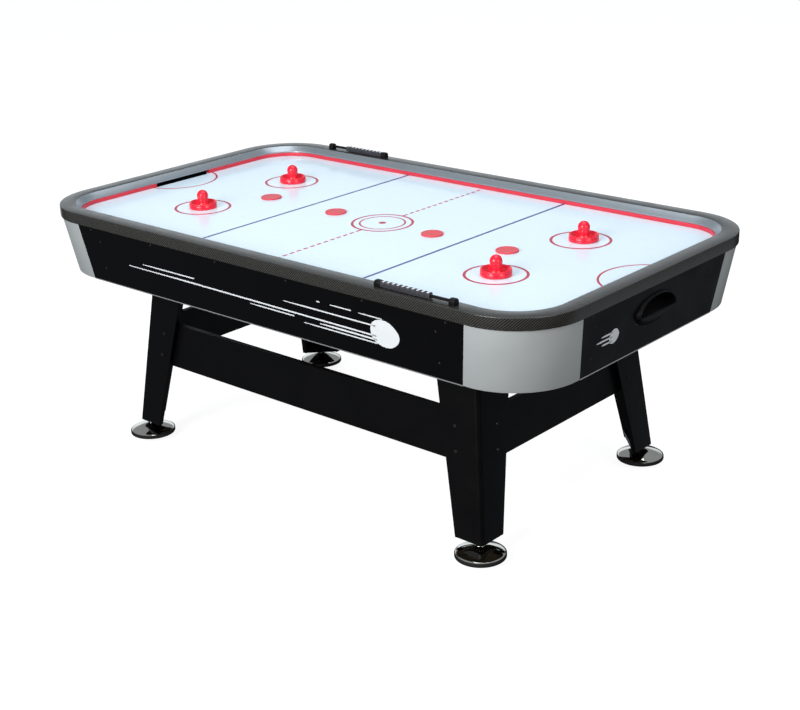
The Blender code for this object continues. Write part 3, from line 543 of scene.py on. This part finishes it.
def build_bumpers():
    section = rounded(
        [(FIELD_INSET, BUMPER_LOW), (BUMPER_FACE, BUMPER_LOW),
         (BUMPER_FACE, BUMPER_TOP), (FIELD_INSET, BUMPER_TOP)],
        [0, 0.0012, 0.0022, 0], 4,
    )
    for side in ("front", "back"):
        s = SIDE[side]
        left, right = bend(-1, s), bend(1, s)
        left[-1] = (-HALF_X, s * GOAL_HALF, -1, 0)
        right[-1] = (HALF_X, s * GOAL_HALF, 1, 0)
        make(f"bumper_strip_{side}", Shape().loft(edge_rings(left[::-1] + right, section)), "bumper",
             replaces=[f"bumper_{side}"])


# ---------------------------------------------------------------- playing field


def ribbon(shape, outer, inner, low, high, arc=(0, 360), centre=(0, 0), steps=96):
    """A flat printed ring, or part of one."""
    start, stop = (math.radians(a) for a in arc)
    whole = arc[1] - arc[0] >= 360
    rings = []
    for k in range(steps if whole else steps + 1):
        angle = start + (stop - start) * k / steps
        c, s = math.cos(angle), math.sin(angle)
        rings.append([(centre[0] + r * c, centre[1] + r * s, z)
                      for r, z in ((inner, low), (outer, low), (outer, high), (inner, high))])
    return shape.loft(rings, closed=whole)


def build_markings():
    low, high = FIELD_Z - 0.0004, FIELD_Z + 0.00016
    inner_y = HALF_Y - BUMPER_FACE + 0.004
    line = 0.0100
    blue = Shape()
    for x in (-0.3505, 0.3505):
        blue.box((x - line / 2, -inner_y, low), (x + line / 2, inner_y, high))
    make("printed_blue_lines", blue, "blue_ink")
    red = Shape()
    line = 0.0085
    pitch, dash = 0.0303, 0.0185
    for s in (-1, 1):
        for k in range(13):
            middle = 0.1500 + k * pitch
            y0, y1 = sorted((s * (middle - dash / 2), s * min(middle + dash / 2, inner_y)))
            red.box((-line / 2, y0, low), (line / 2, y1, high))
        y0, y1 = sorted((s * 0.104, s * 0.128))
        red.box((-line / 2, y0, low), (line / 2, y1, high))
    ribbon(red, 0.1005 + 0.0045, 0.1005 - 0.0045, low, high)
    ribbon(red, 0.0755 + 0.0032, 0.0755 - 0.0032, low, high)
    red.turned([(0, low), (0.0125, low), (0.0125, high), (0, high)], (0, 0), 28)
    for sx in (-1, 1):
        for sy in (-1, 1):
            ribbon(red, 0.0940 + 0.0046, 0.0940 - 0.0046, low, high, centre=(sx * 0.6403, sy * 0.2181))
        facing = (105.5, 254.5) if sx > 0 else (-74.5, 74.5)
        ribbon(red, 0.148 + 0.0036, 0.148 - 0.0036, low, high, arc=facing, centre=(sx * 1.028, 0), steps=60)
    make("printed_red_markings", red, "red_ink")

    # Painted shade: each air hole is a dark grey disc standing a hair proud of the field, not an opening cut
    # into it; its colour stands in for the shade inside the hole.
    hole_shade_discs = Shape()
    radius, sides = 0.0007, 6
    top, floor = FIELD_Z + 0.00006, FIELD_Z - 0.0003
    spacing_x, spacing_y = 0.0381, 0.0381
    nx = int((HALF_X - 0.11) / spacing_x)
    ny = int((HALF_Y - 0.11) / spacing_y)
    ccx, ccy, r = HALF_X - RAIL_RADIUS, HALF_Y - RAIL_RADIUS, RAIL_RADIUS - 0.1
    for i in range(-nx, nx + 1):
        for j in range(-ny, ny + 1):
            x, y = i * spacing_x, j * spacing_y
            if abs(x) > ccx and abs(y) > ccy and math.hypot(abs(x) - ccx, abs(y) - ccy) > r:
                continue
            rings = []
            for z in (floor, top):
                rings.append([(x + radius * math.cos(math.tau * k / sides),
                               y + radius * math.sin(math.tau * k / sides), z) for k in range(sides)])
            hole_shade_discs.loft(rings)
    make("air_hole_shade_discs", hole_shade_discs, "hole_shade", sharp=20)


# ---------------------------------------------------------------- skirt


def build_caps():
    for side_y, side_x in CORNER_NAMES:
        sx, sy = SIDE[side_x], SIDE[side_y]
        outline = rounded(
            [(0, SKIRT_BOTTOM), (0, SKIRT_TOP),
             (SKIRT_THICKNESS, SKIRT_TOP), (SKIRT_THICKNESS, SKIRT_BOTTOM)],
            [0.0012, 0.0006, 0.0006, 0.0012], 3,
        )
        rings = []
        for x, y, nx, ny in bend(sx, sy):
            ring = []
            for depth, z in outline:
                lean = skirt_offset(z) - SKIRT_INSET
                inset = SKIRT_INSET + depth
                ring.append((x - inset * nx - sx * lean, y - inset * ny - sy * lean, z))
            rings.append(ring)
        make(f"silver_cap_{side_y}_{side_x}", Shape().loft(rings), "silver",
             replaces=[f"corner_cap_{side_y}_{side_x}"], bevel=0.0006)


def screw(shape, matrix, radius=0.0038, proud=0.0009):
    """A countersunk head with a shallow round recess, as a low dome on its washer edge."""
    profile = [(0, -0.001), (radius, -0.001), (radius, proud * 0.35), (radius * 0.82, proud),
               (radius * 0.45, proud * 1.1), (radius * 0.34, proud * 0.25), (0, proud * 0.15)]
    shape.turned(profile, (0, 0), 14, matrix)


def build_apron_trim():
    """Silver edging along the lower edge of each apron."""
    face, thick = 0.0026, 0.0007
    trim = Shape()
    for side in ("front", "back", "left", "right"):
        along_y = side in ("left", "right")
        half = (SEAM_Y if along_y else SEAM_X) - SKIRT_TAPER - 0.0004
        s = SIDE[side]
        rings = []
        for u in (-half, half):
            ring = []
            z0, z1 = SKIRT_BOTTOM - thick, SKIRT_BOTTOM + face
            section = [
                (skirt_offset(z0) - thick, z0),
                (skirt_offset(z1) - thick, z1),
                (skirt_offset(z1) + 0.0002, z1),
                (skirt_offset(SKIRT_BOTTOM) + 0.0004, SKIRT_BOTTOM + 0.0002),
                (skirt_offset(SKIRT_BOTTOM) + SKIRT_THICKNESS, SKIRT_BOTTOM + 0.0002),
                (skirt_offset(SKIRT_BOTTOM) + SKIRT_THICKNESS, z0),
            ]
            for inset, z in section:
                ring.append((s * (HALF_X - inset), u, z) if along_y else (u, s * (HALF_Y - inset), z))
            rings.append(ring)
        trim.loft(rings)
    make("apron_edging", trim, "trim")


def build_apron_screws():
    heads = Shape()
    top = SKIRT_TOP - 0.0107
    for side, us in (("front", (-0.766, -0.46, -0.155, 0.155, 0.46, 0.766)), ("left", (-0.33, 0.33))):
        other = {"front": "back", "left": "right"}[side]
        for u in us:
            for each in (side, other):
                screw(heads, face_matrix(each, u, top, -0.0003))
    for side in ("front", "back"):
        for u in (-0.727, 0.727):
            for z in (0.751, 0.6545):
                screw(heads, face_matrix(side, u, z, -0.0003))
    for side in ("left", "right"):
        for u in (-0.31, 0.31):
            for z in (0.751, 0.6545):
                screw(heads, face_matrix(side, u, z, -0.0003))
    make("apron_screws", heads, "screw", sharp=40)


def build_decals():
    """A flying disc with speed streaks on the long aprons, and a small one on the ends."""

    def streak(shape, matrix, x0, x1, y, width, taper=0.35, slope=0.0):
        half = width / 2
        pts = [(x0, y, half * taper), (x0 + (x1 - x0) * 0.25, y, half), (x1, y + slope, half)]
        rings = []
        for x, cy, h in pts:
            rings.append([(x, cy - h, -0.0004), (x, cy + h, -0.0004),
                          (x, cy + h, 0.00016), (x, cy - h, 0.00016)])
        shape.loft(rings, matrix=matrix)

    def disc(shape, matrix, x, y, rx, ry, sides=44):
        rings = []
        for z in (-0.0004, 0.00016):
            ring = []
            for k in range(sides):
                angle = math.tau * k / sides
                wobble = 1 + 0.020 * math.cos(3 * angle + 0.4) + 0.012 * math.cos(5 * angle)
                ring.append((x + rx * wobble * math.cos(angle), y + ry * wobble * math.sin(angle), z))
            rings.append(ring)
        shape.loft(rings, matrix=matrix)

    middle = 0.70
    graphic = Shape()
    for side in ("front", "back"):
        matrix = face_matrix(side, 0, middle)
        for x0, x1, z, width, slope in (
            (-0.5955, 0.500, 0.6915, 0.0052, -0.0062),
            (-0.520, -0.269, 0.7090, 0.0042, 0.0),
            (-0.022, 0.169, 0.6765, 0.0042, -0.0005),
            (0.131, 0.500, 0.7185, 0.0046, -0.001),
            (0.2075, 0.500, 0.6630, 0.0042, -0.001),
            (0.276, 0.500, 0.6745, 0.0058, -0.001),
            (0.274, 0.287, 0.7470, 0.0040, 0.0),
            (0.328, 0.412, 0.7470, 0.0036, 0.0),
            (0.440, 0.530, 0.7460, 0.0036, -0.0006),
        ):
            streak(graphic, matrix, x0, x1, z - middle, width, 0.5, slope)
        disc(graphic, matrix, 0.5325, -0.0010, 0.0545, 0.0435)
    make("apron_graphic", graphic, "white_ink", sharp=20)

    badge = Shape()
    for side, u in (("right", -0.232), ("left", 0.232)):
        matrix = face_matrix(side, u, 0.693)
        disc(badge, matrix, 0.026, 0.0, 0.024, 0.023, 36)
        for y, x0 in ((0.0135, -0.040), (0.0, -0.060), (-0.0135, -0.032)):
            streak(badge, matrix, x0, 0.018, y, 0.0056, 0.4)
    make("end_badges", badge, "white_ink", sharp=20)


# ---------------------------------------------------------------- goals

POCKET_WIDTH = 0.184
POCKET_FLOOR = 0.1215
POCKET_SIDE = 0.0035
POCKET_ARCH = 0.046


def pocket_outline(grow, dip, steps=24):
    """An arch over a floor that sags by dip, as (y, z)."""
    half = POCKET_WIDTH / 2 + grow
    floor = HEIGHT - POCKET_FLOOR
    points = []
    for k in range(steps + 1):
        angle = math.pi * (1 + k / steps)
        points.append((half * math.cos(angle), floor + dip * math.sin(angle)))
    for k in range(steps + 1):
        angle = math.pi * k / steps
        points.append((half * math.cos(angle), floor + POCKET_SIDE + (POCKET_ARCH + grow) * math.sin(angle)))
    return points


def hollow(shape, outer, inner):
    """A body between two matching sets of rings, open from end to end."""
    count = len(outer[0])
    points = [p for ring in outer + inner for p in ring]
    shift = len(outer) * count
    faces = []
    for start, rings in ((0, outer), (shift, inner)):
        for row in range(len(rings) - 1):
            for k in range(count):
                a = start + row * count + k
                b = start + row * count + (k + 1) % count
                faces.append([a, b, b + count, a + count])
    last_outer, last_inner = shift - count, shift + (len(inner) - 1) * count
    for first, second in ((0, shift), (last_outer, last_inner)):
        for k in range(count):
            follow = (k + 1) % count
            faces.append([first + k, first + follow, second + follow, second + k])
    strips = [[(points[k][0] + points[k][1], points[k][2]) for k in face] for face in faces]
    return shape.add(points, faces, strips)


def build_pockets():
    """Arched puck returns: a rounded bezel, a tunnel to the goal box and a scooped lip."""
    for side in ("left", "right"):
        s = SIDE[side]

        def ring(grow, dip, x_of_z, s=s):
            return [(s * x_of_z(z), y, z) for y, z in pocket_outline(grow, dip)]

        def back(z):
            return HALF_X - skirt_offset(z) - SKIRT_THICKNESS - 0.0006

        def plane(proud):
            return lambda z: HALF_X - skirt_offset(z) + proud

        def near(depth):
            return lambda z: HALF_X - 0.0024 - depth

        outer = [
            ring(0.0088, 0.037, back),
            ring(0.0088, 0.037, plane(0.0004)),
            ring(0.0082, 0.036, plane(0.0018)),
            ring(0.0064, 0.023, near(0.0050)),
            ring(0.0042, 0.011, near(0.0010)),
            ring(0.0028, 0.0045, near(0)),
        ]
        inner = [
            ring(0.0, 0.0, back),
            ring(0.0, 0.0, plane(0.0)),
            ring(0.0, 0.0, near(0.004)),
            ring(0.0004, 0.0004, near(0.0018)),
            ring(0.0014, 0.0012, near(0.0006)),
            ring(0.0024, 0.0020, near(0)),
        ]
        make(f"puck_return_{side}", hollow(Shape(), outer, inner), "plastic",
             replaces=[f"goal_pocket_{side}"], sharp=50)


# ---------------------------------------------------------------- legs


LEG_FOOT_Z = 0.0495
LEG_LEAN = (0.1176, 0.1125)
LEG_BOARD = 0.018
LEG_ROUND = 0.015
LEG_FOOT_INSET = (0.2865, 0.146)
LEG_FOOT_WIDTH = 0.1035
LEG_WIDENING = 0.104


def leg_corner(z):
    rise = z - LEG_FOOT_Z
    x = HALF_X - LEG_FOOT_INSET[0] - rise * LEG_LEAN[0]
    y = HALF_Y - LEG_FOOT_INSET[1] - rise * LEG_LEAN[1]
    return x, y


def leg_width(z):
    return LEG_FOOT_WIDTH + (z - LEG_FOOT_Z) * LEG_WIDENING


def build_legs():
    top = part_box("leg_front_left")[1].z
    for side_y, side_x in CORNER_NAMES:
        sx, sy = SIDE[side_x], SIDE[side_y]
        rings = []
        for z in (LEG_FOOT_Z, 0.25, top):
            x, y = leg_corner(z)
            w, b = leg_width(z), LEG_BOARD
            section = rounded(
                [(x - w, y), (x, y), (x, y - w), (x - b, y - w), (x - b, y - b), (x - w, y - b)],
                [0, LEG_ROUND, 0, 0, 0, 0], 8,
            )
            rings.append([(sx * px, sy * py, z) for px, py in section])
        shape = Shape().loft(rings)
        make(f"leg_boards_{side_y}_{side_x}", shape, "black",
             replaces=[f"leg_{side_y}_{side_x}"], bevel=0.0008)
        block = Shape()
        rings = []
        for z in (LEG_FOOT_Z + 0.0012, LEG_FOOT_Z + 0.030):
            x, y = leg_corner(z)
            near, far = LEG_BOARD - 0.001, leg_width(z) - 0.003
            section = ((x - near, y - near), (x - far, y - near), (x - near, y - far))
            rings.append([(sx * px, sy * py, z) for px, py in section])
        block.loft(rings)
        make(f"leg_block_{side_y}_{side_x}", block, "black", bevel=0.0006)
        heads = Shape()
        for z in (0.391, 0.314):
            x, y = leg_corner(z)
            lean_y, lean_x = math.atan(LEG_LEAN[1]), math.atan(LEG_LEAN[0])
            for normal, origin in (
                (Vector((0, sy * math.cos(lean_y), math.sin(lean_y))),
                 Vector((sx * (x - 0.089), sy * y, z))),
                (Vector((sx * math.cos(lean_x), 0, math.sin(lean_x))),
                 Vector((sx * x, sy * (y - 0.087), z))),
            ):
                turn = Vector((0, 0, 1)).rotation_difference(normal).to_matrix().to_4x4()
                screw(heads, Matrix.Translation(origin) @ turn, 0.0058, 0.0026)
        make(f"leg_bolts_{side_y}_{side_x}", heads, "screw", sharp=40)


def build_levelers():
    for side_y, side_x in CORNER_NAMES:
        name = f"{side_y}_{side_x}"
        low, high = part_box(f"leveler_pad_{name}")
        centre = ((low.x + high.x) / 2, (low.y + high.y) / 2)
        r = (high.x - low.x) / 2
        h = high.z
        lip = h + 0.0022
        pad = [(0, 0), (r - 0.0020, 0), (r - 0.0006, 0.0005), (r, 0.0020), (r, lip - 0.0024),
               (r - 0.0006, lip - 0.0008), (r - 0.0016, lip), (r - 0.0024, lip - 0.0002),
               (r - 0.0028, h), (0, h)]
        body = f"leveler_{name}"
        make(f"foot_rim_{name}", Shape().turned(pad, centre, 72), "rubber", body,
             [f"leveler_pad_{name}"])
        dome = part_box(f"leveler_{name}")
        rim, base, tip = r - 0.0031, dome[0].z, dome[1].z
        profile = [(0, base), (rim - 0.0012, base), (rim - 0.0002, base + 0.0008), (rim, base + 0.0022),
                   (rim - 0.0012, base + 0.0036)]
        for share, rise in ((0.955, 0.0050), (0.90, 0.0072), (0.82, 0.0098), (0.72, 0.0126), (0.60, 0.0158),
                            (0.48, 0.0188), (0.36, 0.0216), (0.26, 0.0240), (0.205, 0.0258)):
            profile.append((rim * share, base + rise))
        profile += [(0.0150, base + 0.0268), (0.0095, base + 0.0276)]
        profile += [(0.0052, base + 0.0280), (0.0052, tip - 0.0008), (0.0044, tip), (0, tip)]
        make(f"foot_dome_{name}", Shape().turned(profile, centre, 72), "chrome", body,
             [f"leveler_{name}"], sharp=40)
        nut = Shape()
        rings = []
        for radius, rise in ((0.0098, 0.0278), (0.0110, 0.0290), (0.0110, 0.0348), (0.0098, 0.0360)):
            rings.append([(centre[0] + radius * math.cos(math.tau * k / 6 + 0.3),
                           centre[1] + radius * math.sin(math.tau * k / 6 + 0.3), base + rise)
                          for k in range(6)])
        nut.loft(rings)
        make(f"foot_nut_{name}", nut, "chrome", body, bevel=0.0004, sharp=30)


# ---------------------------------------------------------------- mallets and pucks


def build_mallets():
    for side_y, side_x in CORNER_NAMES:
        node = f"mallet_{side_y}_{side_x}"
        low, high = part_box(node)
        centre = ((low.x + high.x) / 2, (low.y + high.y) / 2)
        r = (high.x - low.x) / 2
        z0 = low.z
        tall = high.z - low.z
        knob = 0.0195
        rim = 0.0205
        outline = [
            (0, 0.0004), (r - 0.0045, 0.0004), (r - 0.0035, 0.0), (r - 0.0016, 0.0),
            (r - 0.0004, 0.0008), (r, 0.0022),
            (r, 0.0128), (r - 0.0007, 0.0138), (r - 0.0007, 0.0146), (r - 0.0003, 0.0156),
            (r - 0.0004, rim - 0.0022), (r - 0.0012, rim - 0.0007), (r - 0.0026, rim),
            (r - 0.0042, rim - 0.0002), (r - 0.0058, rim - 0.0014), (r - 0.0078, rim - 0.0052),
            (r - 0.0105, 0.0106),
            (r - 0.0145, 0.0082), (knob + 0.0085, 0.0074),
            (knob + 0.0046, 0.0086), (knob + 0.0018, 0.0118), (knob + 0.0002, 0.0165),
            (knob - 0.0006, 0.0225),
            (knob - 0.0009, 0.030),
        ]
        shoulder = tall - knob * 1.04
        outline.append((knob - 0.0006, shoulder - 0.004))
        for k in range(10):
            angle = math.radians(9.0 * k)
            outline.append((knob * math.cos(angle), shoulder + knob * 1.04 * math.sin(angle)))
        outline.append((0, tall))
        profile = [(a, z0 + b) for a, b in outline]
        make(f"{node}_shell", Shape().turned(profile, centre, 80), "mallet", node, [node],
             sharp=60)
        felt = [(0, z0 - 0.0001), (r - 0.006, z0 - 0.0001), (r - 0.0055, z0 + 0.0006), (0, z0 + 0.0006)]
        make(f"{node}_felt", Shape().turned(felt, centre, 48), "felt", node)


def build_pucks():
    for k in "1234":
        node = f"puck_{k}"
        low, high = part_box(node)
        centre = ((low.x + high.x) / 2, (low.y + high.y) / 2)
        r = (high.x - low.x) / 2
        z0, h = low.z, high.z - low.z
        outline = [(0, 0.0006), (r * 0.80, 0.0006), (r * 0.84, 0), (r - 0.0010, 0), (r - 0.0002, 0.0006),
                   (r, 0.0014), (r, h - 0.0014), (r - 0.0002, h - 0.0006), (r - 0.0010, h), (r - 0.0048, h),
                   (r - 0.0056, h - 0.0006), (r - 0.0064, h - 0.0006), (0, h - 0.0006)]
        make(f"{node}_disc", Shape().turned([(a, z0 + b) for a, b in outline], centre, 72), "puck", node,
             [node], sharp=35)


# ---------------------------------------------------------------- scorers


def build_scorers():
    for name, turn in (("front", 1), ("back", -1)):
        low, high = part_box(f"scorer_{name}_frame")
        y = (low.y + high.y) / 2
        start, stop = (low.x, high.x) if turn > 0 else (high.x, low.x)
        z0 = low.z
        width = high.y - low.y
        crown = high.z
        axis_z = HEIGHT + 0.0103
        half = width / 2

        def across(section, x, y=y):
            return [(x, y + a, b) for a, b in section]

        frame_shape = Shape()
        tall = crown - z0
        section = rounded([(-half, z0), (half, z0), (half, crown), (-half, crown)],
                          [0.0006, 0.0006, half * 0.72, half * 0.72], 8)
        for x0 in (start, stop - turn * 0.020):
            x1 = x0 + turn * 0.020
            rings = []
            for share, shrink in ((0.0, 0.0016), (0.07, 0.0004), (0.16, 0.0), (0.84, 0.0),
                                  (0.93, 0.0004), (1.0, 0.0016)):
                x = x0 + (x1 - x0) * share
                scale = 1 - shrink / half
                rings.append([(x, y + a * scale, z0 + (b - z0) * (1 - shrink / tall)) for a, b in section])
            frame_shape.loft(rings)
        rod = []
        for px in (start + turn * 0.006, stop - turn * 0.006):
            rod.append([(px, y + 0.0045 * math.cos(math.tau * k / 16),
                         axis_z + 0.0045 * math.sin(math.tau * k / 16)) for k in range(16)])
        frame_shape.loft(rod)
        make(f"scorer_rod_{name}", frame_shape, "plastic",
             replaces=[f"scorer_{name}_frame"], sharp=40)

        beads_low, beads_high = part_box(f"scorer_{name}_beads")
        first = beads_low.x if turn > 0 else beads_high.x
        length = (beads_high.x - beads_low.x) / 10
        size = (beads_high.z - beads_low.z) / 2
        beads = Shape()
        top_patches = Shape()
        body = f"scorer_{name}_beads"
        for k in range(10):
            x0 = first + turn * length * k
            section = rounded(
                [(-size, axis_z - size), (size, axis_z - size),
                 (size, axis_z + size), (-size, axis_z + size)],
                [0.0016, 0.0016, 0.0052, 0.0052], 4,
            )
            rings = []
            for share, shrink in ((0.004, 0.0016), (0.05, 0.0003), (0.09, 0.0), (0.20, 0.0), (0.24, 0.0011),
                                  (0.76, 0.0011), (0.80, 0.0), (0.91, 0.0), (0.95, 0.0003), (0.996, 0.0016)):
                x = x0 + turn * length * share
                scale = 1 - shrink / size
                rings.append([(x, y + a * scale, axis_z + (b - axis_z) * scale) for a, b in section])
            beads.loft(rings)
            # A plain white patch across the top of each bead.
            top = axis_z + size - 0.0011
            xa, xb = sorted((x0 + turn * length * 0.32, x0 + turn * length * 0.68))
            top_patches.box((xa, y - 0.0048, top - 0.0008), (xb, y + 0.0048, top + 0.0004))
        make(f"scorer_bead_row_{name}", beads, "bead", body, [f"scorer_{name}_beads"],
             sharp=35)
        make(f"scorer_top_patches_{name}", top_patches, "white_ink", body, bevel=0.0003)


# ---------------------------------------------------------------- underside and back


def build_fittings():
    """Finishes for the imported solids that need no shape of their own."""
    dress("playfield", "field")
    dress("air_tray", "board")
    for side in ("front", "back", "left", "right"):
        dress(f"apron_{side}", "black")
        dress(f"stretcher_{side}", "black", 0.0008)
    for side in ("left", "right"):
        dress(f"goal_box_{side}", "plastic")
    dress("blower_housing", "plastic")
    dress("blower_impeller", "plastic")
    dress("power_panel", "plastic")
    dress("power_rocker", "mallet")


# ---------------------------------------------------------------- camera and light


def build_camera():
    azimuth, elevation, roll = math.radians(41.5627), math.radians(20.9311), math.radians(-1.573)
    target = Vector((0.1395, -0.0878, 0.3902))
    distance = 4.8602
    away = Vector((
        math.sin(azimuth) * math.cos(elevation),
        -math.cos(azimuth) * math.cos(elevation),
        math.sin(elevation),
    ))
    right = (-away).cross(Vector((0, 0, 1))).normalized()
    up = right.cross(-away)
    tilted_right = right * math.cos(roll) + up * math.sin(roll)
    tilted_up = up * math.cos(roll) - right * math.sin(roll)
    data = bpy.data.cameras.new("camera")
    data.sensor_width = 36
    data.lens = 66.17
    data.clip_end = 600
    camera = bpy.data.objects.new("camera", data)
    place = target + away * distance
    camera.matrix_world = Matrix((
        (tilted_right.x, tilted_up.x, away.x, place.x),
        (tilted_right.y, tilted_up.y, away.y, place.y),
        (tilted_right.z, tilted_up.z, away.z, place.z),
        (0, 0, 0, 1),
    ))
    bpy.context.scene.collection.objects.link(camera)
    bpy.context.scene.camera = camera


def area_light(name, place, aim, size, power, colour=(1, 1, 1)):
    data = bpy.data.lights.new(name, "AREA")
    data.shape = "RECTANGLE"
    data.size, data.size_y = size
    data.energy = power
    data.color = colour
    light = bpy.data.objects.new(name, data)
    light.location = place
    light.rotation_euler = (Vector(aim) - Vector(place)).to_track_quat("-Z", "Y").to_euler()
    bpy.context.scene.collection.objects.link(light)


def build_sky():
    """Soft room round the table: a dim floor side, pale walls, the brightest wall behind on the left."""
    world = bpy.data.worlds.new("studio")
    bpy.context.scene.world = world
    world.use_nodes = True
    tree = world.node_tree

    def node(kind, *values, **settings):
        made = tree.nodes.new(kind)
        for key, value in settings.items():
            setattr(made, key, value)
        for index, value in enumerate(values):
            if isinstance(value, bpy.types.NodeSocket):
                tree.links.new(value, made.inputs[index])
            elif value is not None:
                made.inputs[index].default_value = value
        return made.outputs

    def towards(way, low, high, weak, strong):
        facing = node("ShaderNodeVectorMath", direction, way, operation="DOT_PRODUCT")["Value"]
        return node("ShaderNodeMapRange", facing, low, high, weak, strong,
                    interpolation_type="SMOOTHSTEP")[0]

    def blend(factor, first, second):
        made = node("ShaderNodeMix", factor, data_type="FLOAT")
        mixer = tree.nodes[-1]
        for index, value in ((2, first), (3, second)):
            if isinstance(value, bpy.types.NodeSocket):
                tree.links.new(value, mixer.inputs[index])
            else:
                mixer.inputs[index].default_value = value
        return made[0]

    direction = node("ShaderNodeTexCoord")["Generated"]
    up = (0, 0, 1)
    left_wall = towards((-0.75, 0.66, 0.0), 0.62, 0.96, 0.20, 1.12)
    front_wall = towards((-0.45, -0.89, 0.05), 0.90, 0.985, 0.0, 0.30)
    back_wall = towards((0.50, 0.86, 0.0), 0.88, 0.985, 0.0, 0.34)
    wall = node("ShaderNodeMath", left_wall, front_wall, operation="ADD")[0]
    wall = node("ShaderNodeMath", wall, back_wall, operation="ADD")[0]
    front_floor = towards((-0.45, -0.89, 0), 0.3, 1.0, 0.03, 0.24)
    end_floor = towards((0.50, 0.71, -0.50), 0.86, 0.99, 0.0, 0.30)
    left_floor = towards((-0.80, 0.55, -0.20), 0.90, 0.985, 0.0, 1.0)
    floor = node("ShaderNodeMath", front_floor, end_floor, operation="ADD")[0]
    floor = node("ShaderNodeMath", floor, left_floor, operation="ADD")[0]
    walls = blend(towards(up, -0.03, 0.12, 0, 1), floor, wall)
    whole = blend(towards(up, 0.22, 0.36, 0, 1), walls, 0.32)
    background = tree.nodes["Background"]
    background.inputs["Color"].default_value = (0.86, 0.94, 1.0, 1)
    tree.links.new(whole, background.inputs["Strength"])


def build_studio():
    floor = bpy.data.meshes.new("studio_floor")
    reach = 150
    corners = [(-reach, -reach, 0), (reach, -reach, 0), (reach, reach, 0), (-reach, reach, 0)]
    floor.from_pydata(corners, [], [(0, 1, 2, 3)])
    floor.materials.append(studio_floor())
    thing = bpy.data.objects.new("studio_floor", floor)
    thing.location.z = -FLOOR_DROP
    thing.visible_diffuse = False
    thing.visible_glossy = False
    bpy.context.scene.collection.objects.link(thing)

    build_sky()
    area_light("key", (0.35, -5.4, 2.8), (0, 0, 0.6), (3.0, 2.4), 325, (1.0, 0.985, 0.965))
    area_light("top", (0.2, 0.2, 4.6), (0, 0, 0.8), (4.2, 3.0), 99, (0.93, 0.97, 1.0))
    area_light("side", (6.2, -1.6, 2.7), (0, 0, 0.6), (2.6, 2.2), 115, (1.0, 0.965, 0.91))
    bpy.context.scene.view_settings.view_transform = "Standard"


def main():
    build_camera()
    build_studio()
    build_rim()
    build_liner()
    build_bumpers()
    build_markings()
    build_caps()
    build_apron_trim()
    build_apron_screws()
    build_decals()
    build_pockets()
    build_legs()
    build_levelers()
    build_mallets()
    build_pucks()
    build_scorers()
    build_fittings()


main()
